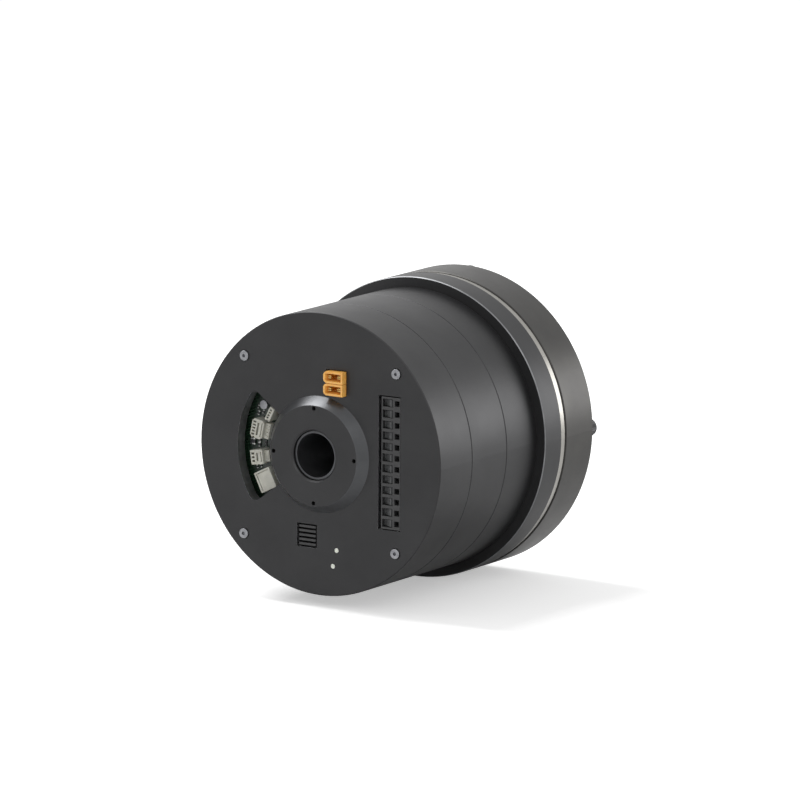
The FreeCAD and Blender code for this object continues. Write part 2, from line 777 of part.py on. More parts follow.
centre_tube = turned("centre_tube", [
    (tube_inner, boss_top + s.tube_recess),
    (tube_outer, boss_top + s.tube_recess),
    (tube_outer, flange_floor),
    (tube_flange, flange_floor),
    (tube_flange, s.hub_proud),
    (tube_inner + 0.5, s.hub_proud),
    (tube_inner, s.hub_proud - 0.5)])
holes(centre_tube, "tube_sinks", tube_outer + 3.6, 45, 2.0, s.hub_proud, 1.6, False, 4)
holes(centre_tube, "tube_screw_holes", tube_outer + 3.6, 45, 1.0, s.hub_proud, 2.5, False, 4)
tube_screws = screw("tube_screws", tube_outer + 3.6, 1.0, 1.9, s.hub_proud - 1.6, 1.5,
                    flange_floor - 3.0, 4, True, 0.6)
turn(tube_screws, 45)
keep(ring, output, output_seal, centre_tube, tube_screws)



def roller_ring(lean):
    """Half of the rollers: cylinders lying at 45 degrees to the axis."""
    found = []
    count = int(round(s.roller_count.number))
    for index in range(count):
        if index % 2 == (0 if lean > 0 else 1):
            turned_by = FreeCAD.Rotation(AROUND_Y, 360.0 * index / count)
            axis = turned_by.multVec(V(lean, 1, 0).normalize())
            centre = turned_by.multVec(V(roller_radius.number, roller_y.number, 0))
            base = centre - axis * roller_half.number
            found.append(Part.makeCylinder(roller_half.number, s.roller_size.number,
                                           base, axis))
    return found


rollers = doc.addObject("Part::Feature", "crossed_rollers")
roller_half = s.roller_size / 2
rollers.Shape = Part.makeCompound(roller_ring(1) + roller_ring(-1))
keep(rollers)

# -------------------------------------------------------- strain-wave gear
# The cam presses the flexspline into an ellipse. Its teeth meet those of the
# round circular spline only at the two ends of the long axis.
cup_teeth = int(round(s.flexspline_teeth.number))
ring_teeth = cup_teeth + int(round(s.tooth_difference.number))
module = s.gear_module
swing = module * s.tooth_difference / 2
pitch_radius = module * s.flexspline_teeth / 2
spline_pitch = pitch_radius + swing
cup_root = pitch_radius - s.tooth_dedendum
cup_inner = cup_root - s.flexspline_wall
race_inner = cup_inner - s.race_wall
ball_gap = s.flex_ball + 0.04
cam_radius = race_inner - ball_gap - s.race_wall
cup_teeth_back = hub_back + 1.0
race_middle = (cup_teeth_back + rim_front) / 2
race_back = race_middle - s.race_width / 2
race_front = race_middle + s.race_width / 2
rim_inner = recess_radius
rim_radius = ring_radius - s.strip_step


def along_axis(wires, back, front):
    """A straight solid between two stations, from an outline and its hole."""
    outside, inside = [Part.Face(wire) for wire in wires]
    inside.translate(V(0, back - 1, 0))
    outside.translate(V(0, back, 0))
    hole = inside.extrude(V(0, front - back + 2, 0))
    return outside.extrude(V(0, front - back, 0)).cut(hole)


def polygon(points):
    """A closed outline in the XZ plane from (radius, angle) points."""
    corners = [V(r * math.cos(a), 0, r * math.sin(a)) for r, a in points]
    return Part.makePolygon(corners + corners[:1])


def ellipse(half_axis_x, half_axis_z):
    curve = Part.Ellipse(V(), half_axis_x, half_axis_z)
    wire = Part.Wire([curve.toShape()])
    wire.rotate(V(), V(1, 0, 0), 90)
    return wire


def tooth_corners(middle, angle, addendum, dedendum, width, root_widens):
    """Four corners of a straight-sided tooth or tooth space."""
    flank = math.tan(math.radians(s.flank_angle.number))
    tip = width / 2 - addendum * flank
    root = width / 2 + dedendum * flank
    if not root_widens:
        tip, root = root, tip
    inner = middle - dedendum
    outer = middle + addendum
    return [(inner, angle - root / inner), (outer, angle - tip / outer),
            (outer, angle + tip / outer), (inner, angle + root / inner)]


pitch = math.pi * module.number
tooth = (pitch - s.tooth_backlash.number) / 2
space = (pitch + s.tooth_backlash.number) / 2

cup_outline = []
for index in range(cup_teeth):
    round_angle = 2 * math.pi * index / cup_teeth
    lift = swing.number * math.cos(2 * round_angle)
    lag = swing.number / (2 * pitch_radius.number) * math.sin(2 * round_angle)
    cup_outline += tooth_corners(pitch_radius.number + lift, round_angle - lag,
                                 s.tooth_addendum.number, s.tooth_dedendum.number, tooth, True)
cup_bore = ellipse((cup_inner + swing).number, (cup_inner - swing).number)
toothed = along_axis([polygon(cup_outline), cup_bore], cup_teeth_back.number, rim_front.number)
plain = along_axis([ellipse((cup_root + swing).number, (cup_root - swing).number), cup_bore],
                   diaphragm_back.number, cup_teeth_back.number)
diaphragm = along_axis([ellipse(rim_inner.number + 0.5, rim_inner.number + 0.5), cup_bore],
                       diaphragm_back.number, diaphragm_front.number)
rim = Part.makeCylinder(rim_radius.number, (s.strip_length - 0.5).number,
                        V(0, strip_back.number, 0), AROUND_Y)
rim = rim.fuse(Part.makeCylinder(rim_radius.number - 0.5, s.strip_length.number,
                                 V(0, strip_back.number, 0), AROUND_Y))
rim = rim.cut(Part.makeCylinder(rim_inner.number, 2 * s.strip_length.number,
                                V(0, strip_back.number - 2, 0), AROUND_Y))
for index in range(4):
    turned_by = FreeCAD.Rotation(AROUND_Y, 90.0 * index)
    rim = rim.cut(Part.makeCylinder(
        s.case_bolt.number / 2 + 0.25, 2 * s.strip_length.number,
        turned_by.multVec(V(case_line.number, strip_back.number - 2, 0)), AROUND_Y))
flexspline = doc.addObject("Part::Feature", "flexspline")
flexspline.Shape = toothed.fuse([plain, diaphragm, rim]).removeSplitter()

ring_outline = []
for index in range(ring_teeth):
    round_angle = 2 * math.pi * index / ring_teeth
    ring_outline += tooth_corners(spline_pitch.number, round_angle, 0.65 / 0.8 * module.number,
                                  s.tooth_addendum.number, space, True)
blank = along_axis([Part.Wire([Part.Circle(V(), AROUND_Y, spline_seat.number).toShape()]),
                    polygon(ring_outline)], hub_back.number, disc_back.number)
for index in range(8):
    turned_by = FreeCAD.Rotation(AROUND_Y, 22.5 + 45 * index)
    for radius, depth in ((s.spline_bolt.number / 2, 14.1),
                          (s.spline_bolt.number * 0.875 + 0.2, s.spline_bolt.number + 0.2)):
        blank = blank.cut(Part.makeCylinder(
            radius, depth, turned_by.multVec(
                V(spline_line.number, hub_back.number, 0)), AROUND_Y))
circular_spline = doc.addObject("Part::Feature", "circular_spline")
circular_spline.Shape = blank
spline_screws = screw("spline_screws", spline_line, s.spline_bolt / 2,
                      s.spline_bolt * 0.875, hub_back + s.spline_bolt + 0.2, s.spline_bolt,
                      disc_back + 5.6, 8, False, s.spline_bolt / 2.6)
turn(spline_screws, 22.5)

cam_blank = ellipse_tube("cam_blank", (cam_radius + swing, cam_radius - swing),
                         (shaft_radius, shaft_radius), cup_teeth_back, rim_front - 1.0)
cam_line = (shaft_radius + cam_radius - swing) / 2
bores = []
for index in range(4):
    for name, radius, back, front_end in (
            ("hole", as_size(1.5), cup_teeth_back - 1.0, rim_front),
            ("sink", as_size(2.95), rim_front - 4.2, rim_front)):
        bore = doc.addObject("Part::Cylinder", "cam_%s_%d" % (name, index + 1))
        bore.Radius = radius.number
        bore.setExpression("Radius", radius.text)
        bore.setExpression("Height", (front_end - back).text)
        bore.Placement = FreeCAD.Placement(V(), FreeCAD.Rotation(V(1, 0, 0), -90))
        bore.setExpression("Placement.Base.x", along(45 + 90 * index, cam_line).text)
        bore.setExpression("Placement.Base.y", back.text)
        bore.setExpression("Placement.Base.z", across(45 + 90 * index, cam_line).text)
        bores.append(bore)
cam_bores = doc.addObject("Part::MultiFuse", "cam_bores")
cam_bores.Shapes = bores
cam = doc.addObject("Part::Cut", "wave_cam")
cam.Base = cam_blank
cam.Tool = cam_bores
doc.recompute()
cam_screws = screw("cam_screws", cam_line, 1.5, 2.75, rim_front - 4.2, 3.0,
                   cup_teeth_back - 2.2, 4, True, 1.25)
turn(cam_screws, 45)

inner_race = ellipse_tube("flex_inner_race", (cam_radius + s.race_wall + swing,
                                             cam_radius + s.race_wall - swing),
                          (cam_radius + swing, cam_radius - swing), race_back, race_front)
outer_race = ellipse_tube("flex_outer_race", (cup_inner + swing, cup_inner - swing),
                          (race_inner + swing, race_inner - swing), race_back, race_front)
ball_path = race_inner.number - ball_gap.number / 2
ball_count = int(round(s.flex_ball_count.number))
spheres = []
for index in range(ball_count):
    round_angle = 2 * math.pi * index / ball_count
    radius = ball_path + swing.number * math.cos(2 * round_angle)
    angle = round_angle - swing.number / (2 * ball_path) * math.sin(2 * round_angle)
    spheres.append(Part.makeSphere(s.flex_ball.number / 2, V(
        radius * math.cos(angle), race_middle.number, radius * math.sin(angle))))
flex_balls = doc.addObject("Part::Feature", "flex_balls")
flex_balls.Shape = Part.makeCompound(spheres)
keep(flexspline, circular_spline, spline_screws, cam, cam_screws, inner_race, outer_race,
     flex_balls)

# -------------------------------------------------- shaft and its bearings
shoulder = shaft_radius + 1.1
cam_flange = cam_line + 2.6
shaft_front = rim_front - 0.5
nut_back = bulkhead_back - 5.0

shaft = turned("motor_shaft", [
    (shaft_inner, shaft_back),
    (shaft_radius, shaft_back),
    (shaft_radius, front_bearing_front),
    (shoulder, front_bearing_front),
    (shoulder, cup_teeth_back - 3.1),
    (cam_flange, cup_teeth_back - 3.1),
    (cam_flange, cup_teeth_back),
    (shaft_radius, cup_teeth_back),
    (shaft_radius, shaft_front),
    (shaft_inner, shaft_front)])
holes(shaft, "cam_taps", cam_line, 45, 1.5, cup_teeth_back, 2.6, False, 4)
keep(shaft)

inner_track = shaft_radius + s.bearing_ring
outer_track = bearing_radius - s.bearing_ring
ball_line = (inner_track + outer_track) / 2
track_depth = s.bearing_ball / 2 - (outer_track - inner_track) / 2 + 0.03
track_half = s.bearing_ball * 0.32
balls = []
outer_rings = new_body("bearing_outer_rings")
inner_rings = new_body("bearing_inner_rings")
for name, back in (("front", web_back), ("rear", rear_bearing_back)):
    front_face = back + s.bearing_width
    middle_y = (back + front_face) / 2
    turned(name + "_outer_ring", [
        (outer_track, back),
        (bearing_radius, back),
        (bearing_radius, front_face),
        (outer_track, front_face),
        (outer_track, middle_y + track_half),
        (outer_track + track_depth, middle_y + track_half),
        (outer_track + track_depth, middle_y - track_half),
        (outer_track, middle_y - track_half)], outer_rings)
    turned(name + "_inner_ring", [
        (shaft_radius, back),
        (inner_track, back),
        (inner_track, middle_y - track_half),
        (inner_track - track_depth, middle_y - track_half),
        (inner_track - track_depth, middle_y + track_half),
        (inner_track, middle_y + track_half),
        (inner_track, front_face),
        (shaft_radius, front_face)], inner_rings)
    ball_total = int(round(s.bearing_ball_count.number))
    for index in range(ball_total):
        angle = 2 * math.pi * index / ball_total
        balls.append(Part.makeSphere(s.bearing_ball.number / 2, V(
            ball_line.number * math.cos(angle), middle_y.number,
            ball_line.number * math.sin(angle))))
bearing_balls = doc.addObject("Part::Feature", "bearing_balls")
bearing_balls.Shape = Part.makeCompound(balls)
nut = turned("shaft_nut", [
    (shaft_radius, nut_back),
    (inner_track + 2.0, nut_back),
    (inner_track + 2.0, bulkhead_back),
    (shaft_radius, bulkhead_back)])
nut_slots = sketch_on(nut, "nut_slots", "XZ_Plane", -nut_back)
rectangle(nut_slots, inner_track + 2.0, 0, 2.6, 3.0)
around(nut, pocket(nut, nut_slots, 2.5, True), 4)
keep(outer_rings, inner_rings, bearing_balls, nut)

# ------------------------------------------------------------------- motor
bay_middle = (bulkhead_front + web_back) / 2
stack = web_back - bulkhead_front - (s.end_turn + s.coil_clearance) * 2
stack_back = bay_middle - stack / 2
stack_front = bay_middle + stack / 2
slot_bottom = motor_radius - s.yoke
half_step = as_size(180) / s.slot_count


def slot_half_width(radius):
    """Half the room between two stator teeth at one radius."""
    radius = as_size(radius)
    turn_by = math.radians(half_step.number)
    number = radius.number * math.tan(turn_by) - s.tooth_width.number / 2 / math.cos(turn_by)
    text = "(%s * tan(%s) - %s / 2 / cos(%s))" % (
        radius.text, half_step.text, s.tooth_width.text, half_step.text)
    return Size(number, text)


stator = turned("stator_core", [
    (stator_inner, stack_back),
    (motor_radius, stack_back),
    (motor_radius, stack_front),
    (stator_inner, stack_front)])
slots = sketch_on(stator, "slots", "XZ_Plane", -stack_back)
mouth_half = as_size(1.3)
shoe_end = stator_inner + s.pole_shoe
outline(slots, [
    (stator_inner - 1.0, -mouth_half),
    (stator_inner + 1.2, -mouth_half),
    (shoe_end + 0.6, -slot_half_width(shoe_end + 0.6)),
    (slot_bottom, -slot_half_width(slot_bottom)),
    (slot_bottom, slot_half_width(slot_bottom)),
    (shoe_end + 0.6, slot_half_width(shoe_end + 0.6)),
    (stator_inner + 1.2, mouth_half),
    (stator_inner - 1.0, mouth_half)])
around(stator, pocket(stator, slots, stack, True), s.slot_count)

coils = new_body("stator_coils")
coil_section = sketch_on(coils, "coil_section", "YZ_Plane", shoe_end + 1.4)
rectangle(coil_section, bay_middle, 0, stack + s.end_turn * 2,
          s.tooth_width + s.coil_side * 2)
rectangle(coil_section, bay_middle, 0, stack + 0.2, s.tooth_width + 0.2)
around(coils, pad(coils, coil_section, slot_bottom - shoe_end - 2.6), s.slot_count)
turn(coils, half_step)
keep(stator, coils)

magnet_inner = rotor_radius - s.magnet
rotor_boss = shaft_radius + 2.5
web_half = s.rotor_web / 2
hub = turned("rotor_hub", [
    (shaft_radius, rear_bearing_front),
    (rotor_boss, rear_bearing_front),
    (rotor_boss, bay_middle - web_half),
    (magnet_inner - s.rotor_rim, bay_middle - web_half),
    (magnet_inner - s.rotor_rim, stack_back),
    (magnet_inner, stack_back),
    (magnet_inner, stack_front),
    (magnet_inner - s.rotor_rim, stack_front),
    (magnet_inner - s.rotor_rim, bay_middle + web_half),
    (rotor_boss, bay_middle + web_half),
    (rotor_boss, web_back),
    (shaft_radius, web_back)])
magnets = new_body("rotor_magnets")
magnet_section = sketch_on(magnets, "magnet_section", "XZ_Plane", -stack_back)
sector(magnet_section, magnet_inner, rotor_radius, 45, as_size(310) / s.magnet_count)
around(magnets, pad(magnets, magnet_section, stack, forward=True), s.magnet_count)
keep(hub, magnets)

# ----------------------------------------------------------- holding brake
disc_clearance = 3.2
brake_radius = s.brake_diameter / 2
brake_bore = inner_track + 3.5
hex_corner = s.brake_hub_flats / math.sqrt(3)
plate_back = shaft_back + disc_clearance
plate_front = plate_back + s.brake_plate
friction_back = plate_front + 0.15
friction_front = friction_back + s.brake_disc
armature_back = friction_front + s.brake_travel
armature_front = armature_back + s.armature
brake_back = armature_front + 0.05
clamp_bore = hex_corner + 0.9
brake_line = brake_radius - 2.3

brake = turned("brake_body", [
    (brake_bore, brake_back),
    (brake_bore + 2.0, brake_back),
    (brake_bore + 2.0, bulkhead_back - 2.0),
    (brake_line - 2.0, bulkhead_back - 2.0),
    (brake_line - 2.0, brake_back),
    (brake_radius, brake_back),
    (brake_radius, bulkhead_back),
    (brake_bore, bulkhead_back)])
holes(brake, "brake_taps", brake_line, 90, 1.25, brake_back, bulkhead_back - brake_back,
      True, 3)
holes(brake, "spring_pockets", brake_line, 30, 1.25, brake_back, 5.0, True, 3)
brake_coil = turned("brake_coil", [
    (brake_bore + 2.2, brake_back + 0.4),
    (brake_line - 2.2, brake_back + 0.4),
    (brake_line - 2.2, bulkhead_back - 2.0),
    (brake_bore + 2.2, bulkhead_back - 2.0)])
armature = turned("brake_armature", [
    (clamp_bore, armature_back),
    (brake_radius, armature_back),
    (brake_radius, armature_front),
    (clamp_bore, armature_front)])
holes(armature, "armature_holes", brake_line, 90, 2.2, armature_back, s.armature, True, 3)
friction = turned("brake_disc", [
    (brake_line - 3.0, friction_back),
    (brake_line - 3.0, friction_front),
    (shaft_radius, friction_front),
    (shaft_radius, friction_back)])
hex_hole = sketch_on(friction, "hex_hole", "XZ_Plane", -friction_back)
outline(hex_hole, [(along(60 * k, hex_corner + 0.1), across(60 * k, hex_corner + 0.1))
                   for k in range(6)])
pocket(friction, hex_hole, s.brake_disc, True)
hub_front = brake_back - 0.3
brake_hub = turned("brake_hub", [
    (shaft_radius, plate_back + 0.5),
    (inner_track, plate_back + 0.5),
    (inner_track, nut_back),
    (shaft_radius, nut_back)])
hex_pad = sketch_on(brake_hub, "hex_pad", "XZ_Plane", -plate_back - 0.5)
outline(hex_pad, [(along(60 * k, hex_corner), across(60 * k, hex_corner)) for k in range(6)])
circle(hex_pad, 0, 0, shaft_radius)
pad(brake_hub, hex_pad, armature_back - plate_back, forward=True)
plate = turned("brake_plate", [
    (clamp_bore, plate_back),
    (brake_radius, plate_back),
    (brake_radius, plate_front),
    (clamp_bore, plate_front)])
holes(plate, "plate_holes", brake_line, 90, 1.25, plate_back, s.brake_plate, True, 3)
spacers, spacer = turned_aside("brake_spacers", brake_line, [
    (1.25, plate_front), (1.9, plate_front), (1.9, brake_back), (1.25, brake_back)])
around(spacers, spacer, 3)
turn(spacers, -90)
brake_screws = screw("brake_screws", brake_line, 1.25, 2.2, plate_back, 1.4,
                     bulkhead_back - 1.0, 3, False, 0.8)
turn(brake_screws, -90)
springs, spring = turned_aside("brake_springs", brake_line, [
    (0.5, brake_back), (1.0, brake_back), (1.0, brake_back + 5.0), (0.5, brake_back + 5.0)])
around(springs, spring, 3)
turn(springs, -30)
keep(brake, brake_coil, armature, friction, brake_hub, plate, spacers, brake_screws, springs)

# -------------------------------------------------- encoders and the boards
control_disc_back = control_front + s.reader_height + 0.3
reader_radius = s.board_hole / 2 + 4.0
input_disc = turned("input_encoder_disc", [
    (shaft_inner, shaft_back - s.encoder_disc),
    (s.input_disc_diameter / 2, shaft_back - s.encoder_disc),
    (s.input_disc_diameter / 2, shaft_back),
    (shaft_inner, shaft_back)])
output_disc = turned("output_encoder_disc", [
    (tube_outer, control_disc_back),
    (s.output_disc_diameter / 2, control_disc_back),
    (s.output_disc_diameter / 2, control_disc_back + s.encoder_disc),
    (tube_outer + 2.5, control_disc_back + s.encoder_disc),
    (tube_outer + 2.5, control_disc_back + 3.5),
    (tube_outer, control_disc_back + 3.5)])
keep(input_disc, output_disc)

readers = new_body("encoder_readers")
for name, back in (("control", control_back), ("power", power_back)):
    board = new_body(name + "_board")
    shape = sketch_on(board, name + "_shape", "XZ_Plane", -back)
    circle(shape, 0, 0, board_radius)
    circle(shape, 0, 0, s.board_hole / 2)
    for x, z in posts:
        circle(shape, x, z, s.board_screw / 2)
    pad(board, shape, s.board, forward=True)
    chip = sketch_on(readers, name + "_chip", "XZ_Plane", -(back + s.board))
    rectangle(chip, -reader_radius, 0, 4.0, 5.0)
    pad(readers, chip, s.reader_height, forward=True)
    keep(board)
keep(readers)

long_posts = new_body("board_posts")
post_ends = sketch_on(long_posts, "post_ends", "XZ_Plane", -power_front)
short_posts = new_body("board_spacers")
spacer_ends = sketch_on(short_posts, "spacer_ends", "XZ_Plane", -control_front)
for sketch in (post_ends, spacer_ends):
    for x, z in posts:
        circle(sketch, x, z, s.standoff / 2)
        circle(sketch, x, z, s.board_screw / 2)
pad(long_posts, post_ends, bulkhead_back - power_front, forward=True)
pad(short_posts, spacer_ends, s.board_space, forward=True)
board_screws = new_body("board_screws")
screw_heads = sketch_on(board_screws, "screw_heads", "XZ_Plane", -control_back)
screw_shanks = sketch_on(board_screws, "screw_shanks", "XZ_Plane", -control_back)
for x, z in posts:
    circle(screw_heads, x, z, s.board_screw_head / 2)
    circle(screw_shanks, x, z, s.board_screw / 2)
pad(board_screws, screw_heads, s.board_head_height)
pad(board_screws, screw_shanks, bulkhead_back - control_back + 4.0, forward=True)
keep(long_posts, short_posts, board_screws)

capacitor_line = board_radius - s.capacitor_inset
capacitors, can = turned_aside("capacitors", capacitor_line, [
    (0, power_front), (s.capacitor_diameter / 2, power_front),
    (s.capacitor_diameter / 2, power_front + s.capacitor_height),
    (0, power_front + s.capacitor_height)])
around(capacitors, can, 5)
turn(capacitors, -18)
keep(capacitors)


def header(label, angle, radius, depth, width, latch):
    """A signal header on the control board, turned to its place."""
    body = new_body(label)
    foot = sketch_on(body, label + "_foot", "XZ_Plane", -control_back)
    rectangle(foot, radius, 0, depth, width)
    pad(body, foot, s.header_height)
    if latch:
        ramp = sketch_on(body, label + "_latch", "XZ_Plane", -control_back)
        rectangle(ramp, radius - depth / 2 - s.latch_depth / 2, 0, s.latch_depth, width - 1.6)
        pad(body, ramp, s.latch_height)
    well = sketch_on(body, label + "_well", "XZ_Plane", -(control_back - s.header_height))
    rectangle(well, radius, 0, depth - s.header_wall * 2, width - s.header_wall * 2)
    pocket(body, well, s.header_height - 1.2, True)
    turn(body, -angle)
    keep(body)


header("header_a", 152.7, s.header_a_radius, s.header_a_depth, s.header_a_width, False)
header("header_b", 168.2, s.header_b_radius, s.header_b_depth, s.header_b_width, True)
header("header_c", 188.9, s.header_c_radius, s.header_c_depth, s.header_c_width, True)
header("header_d", 206.7, s.header_d_radius, s.header_d_depth, s.header_d_width, False)


def along_z(body, feature, step, count):
    """Repeat a feature in a straight row upwards."""
    count = as_size(count)
    length = step * (count - 1)
    row_of = body.newObject("PartDesign::LinearPattern", feature.Name + "_row")
    row_of.Originals = [feature]
    row_of.Direction = (plane_of(body, "Z_Axis"), [""])
    row_of.Length = length.number
    row_of.setExpression("Length", length.text)
    row_of.Occurrences = int(round(count.number))
    row_of.setExpression("Occurrences", count.text)
    body.Tip = row_of
    doc.recompute()


terminal = new_body("terminal_block")
block = sketch_on(terminal, "block", "XZ_Plane", -control_back)
slot_right = s.slot_centre + s.slot_width / 2
block_right = slot_right - 0.1
block_left = block_right - s.terminal_width
row_start = -s.terminal_pitch * (s.terminal_count - 1) / 2
rectangle(block, (block_left + block_right) / 2, 0, s.terminal_width,
          s.terminal_pitch * s.terminal_count + 0.4)
pad(terminal, block, control_back - cover_back)
lever_half = (s.terminal_pitch - s.terminal_rib) / 2
lever = sketch_on(terminal, "lever", "XY_Plane", row_start - lever_half)
outline(lever, [(block_left + 0.6, cover_back), (block_left + 0.6 + s.lever_length, cover_back),
                (block_left + 0.6, cover_back + s.lever_drop)])
lever_cut = pocket(terminal, lever, lever_half * 2, False)
along_z(terminal, lever_cut, s.terminal_pitch, s.terminal_count)
entry = sketch_on(terminal, "wire_entry", "XZ_Plane", -cover_back)
rectangle(entry, block_right - 1.75, row_start, s.wire_entry, s.wire_entry)
entry_cut = pocket(terminal, entry, 6.0, True)
along_z(terminal, entry_cut, s.terminal_pitch, s.terminal_count)
keep(terminal)

louvre = new_body("vent_louvre")
backing = sketch_on(louvre, "backing", "XZ_Plane", -cover_inside)
rectangle(backing, s.louvre_x, s.louvre_z, s.louvre_size + 2.0, s.louvre_size + 2.0)
pad(louvre, backing, s.louvre_plate, forward=True)
bar = sketch_on(louvre, "bar", "XZ_Plane", -cover_inside)
bar_start = s.louvre_z - s.louvre_pitch * 2
rectangle(bar, s.louvre_x, bar_start, s.louvre_length, s.louvre_bar)
along_z(louvre, pad(louvre, bar, s.cover_face - 0.5), s.louvre_pitch, 5)
vent = sketch_on(louvre, "vent", "XZ_Plane", -cover_inside)
rectangle(vent, s.louvre_x, bar_start + s.louvre_pitch / 2, s.louvre_length,
          s.louvre_pitch - s.louvre_bar)
along_z(louvre, pocket(louvre, vent, s.louvre_plate, True), s.louvre_pitch, 4)
keep(louvre)

lamps = new_body("light_pipes")
for number, x, z in ((1, s.lamp_a_x, s.lamp_a_z), (2, s.lamp_b_x, s.lamp_b_z)):
    rod = sketch_on(lamps, "rod_%d" % number, "XZ_Plane", -control_back)
    circle(rod, x, z, s.lamp_diameter / 2)
    pad(lamps, rod, control_back - cover_back - 0.1)
keep(lamps)

pin_bodies = new_body("power_pins")
for name, half in (("lower", -0.5), ("upper", 0.5)):
    middle_z = s.socket_z + s.socket_pitch * half
    left = s.socket_x - s.socket_width / 2
    right = s.socket_x + s.socket_width / 2
    low = middle_z - s.socket_height / 2
    high = middle_z + s.socket_height / 2
    body = new_body("power_socket_" + name)
    shell = sketch_on(body, name + "_shell", "XZ_Plane", -control_back)
    outline(shell, [(left + s.socket_corner, low), (right, low), (right, high),
                    (left + s.socket_corner, high), (left, high - s.socket_corner),
                    (left, low + s.socket_corner)])
    pad(body, shell, control_back - cover_back + s.socket_proud)
    wall = s.socket_wall
    bevel = s.socket_corner * 0.8
    mouth_of = sketch_on(body, name + "_mouth", "XZ_Plane", -(cover_back - s.socket_proud))
    outline(mouth_of, [(left + wall + bevel, low + wall), (right - wall, low + wall),
                       (right - wall, high - wall), (left + wall + bevel, high - wall),
                       (left + wall, high - wall - bevel), (left + wall, low + wall + bevel)])
    pocket(body, mouth_of, s.socket_depth, True)
    keep(body)
    for side in (-0.5, 0.5):
        floor = cover_back - s.socket_proud + s.socket_depth
        pin = sketch_on(pin_bodies, "pin_%s_%d" % (name, 1 if side > 0 else 0), "XZ_Plane",
                        -floor)
        circle(pin, s.socket_x + s.socket_pin_spacing * side, middle_z, s.socket_pin / 2)
        pad(pin_bodies, pin, s.socket_depth - 1.5)
keep(pin_bodies)

# ------------------------------------------------------ checks and the files
doc.recompute()
for item in doc.Objects:
    for problem in ("Invalid", "Error"):
        if problem in item.State:
            raise RuntimeError("%s: %s" % (item.Label, item.State))
for piece in pieces:
    shape = piece.Shape
    if shape.isNull() or not shape.isValid() or shape.Volume <= 0:
        raise RuntimeError("%s has no valid solid" % piece.Label)
os.makedirs("parts", exist_ok=True)
for piece in pieces:
    piece.Shape.exportStep("parts/%s.step" % piece.Label)
print("%d nodes" % len(pieces))
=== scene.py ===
import math

import bmesh
import bpy
from mathutils import Matrix, Vector


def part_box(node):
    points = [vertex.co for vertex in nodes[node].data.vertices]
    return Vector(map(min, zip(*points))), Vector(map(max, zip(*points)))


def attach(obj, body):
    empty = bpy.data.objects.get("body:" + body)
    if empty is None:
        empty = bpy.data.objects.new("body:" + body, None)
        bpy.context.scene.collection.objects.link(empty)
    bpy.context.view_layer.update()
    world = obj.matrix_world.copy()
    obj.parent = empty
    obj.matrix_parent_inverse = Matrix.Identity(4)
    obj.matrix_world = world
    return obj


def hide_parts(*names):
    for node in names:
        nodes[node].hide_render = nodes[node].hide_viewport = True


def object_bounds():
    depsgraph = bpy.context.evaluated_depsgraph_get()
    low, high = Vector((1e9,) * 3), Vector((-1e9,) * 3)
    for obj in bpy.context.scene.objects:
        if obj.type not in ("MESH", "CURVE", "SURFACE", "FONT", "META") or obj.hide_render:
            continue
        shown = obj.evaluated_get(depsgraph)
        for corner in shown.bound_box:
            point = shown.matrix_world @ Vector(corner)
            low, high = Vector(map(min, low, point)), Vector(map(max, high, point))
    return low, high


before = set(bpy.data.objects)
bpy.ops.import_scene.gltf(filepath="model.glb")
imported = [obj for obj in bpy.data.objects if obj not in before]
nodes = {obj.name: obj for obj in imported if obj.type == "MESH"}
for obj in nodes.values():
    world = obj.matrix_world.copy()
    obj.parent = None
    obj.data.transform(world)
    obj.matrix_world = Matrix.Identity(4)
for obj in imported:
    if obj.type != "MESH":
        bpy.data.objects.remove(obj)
cad_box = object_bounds()

# ---------------------------------------------------------------------------
# Camera: a long lens behind the rear cover, to its right and a little above,
# so that the rear face, the barrel and the back of the flange all show.
lens = bpy.data.cameras.new("camera")
lens.sensor_width = 36
lens.lens = 370.07
lens.clip_start = 0.05
lens.clip_end = 60
camera = bpy.data.objects.new("camera", lens)
bpy.context.scene.collection.objects.link(camera)
across_view = Vector((0.8376, 0.5463, 0.0060))
up_view = Vector((-0.1052, 0.1504, 0.9830))
towards_camera = across_view.cross(up_view)
turned = Matrix((across_view, up_view, towards_camera)).transposed()
stand = Matrix.Translation((2.0488, -3.2047, 0.7160))
camera.matrix_world = stand @ turned.to_4x4()
bpy.context.scene.camera = camera
bpy.context.scene.view_settings.view_transform = "Standard"


# ---------------------------------------------------------------------------
# Studio: a pale floor that the ring stands on, a white surround, a small
# bright box above the rear end, a broad one beyond the barrel and a soft one
# behind the camera.
def linear(code):
    """An sRGB hex colour as the linear red, green, blue and alpha of a shader."""
    parts = [int(code[i:i + 2], 16) / 255 for i in (1, 3, 5)]
    return [c / 12.92 if c <= 0.04045 else ((c + 0.055) / 1.055) ** 2.4
            for c in parts] + [1]


def add(tree, kind, inputs=(), **settings):
    """One node, with its settings, and its inputs given as values or as sockets."""
    made = tree.nodes.new(kind)
    for name, value in settings.items():
        setattr(made, name, value)
    for name, value in dict(inputs).items():
        if isinstance(value, bpy.types.NodeSocket):
            tree.links.new(value, made.inputs[name])
        else:
            made.inputs[name].default_value = value
    return made


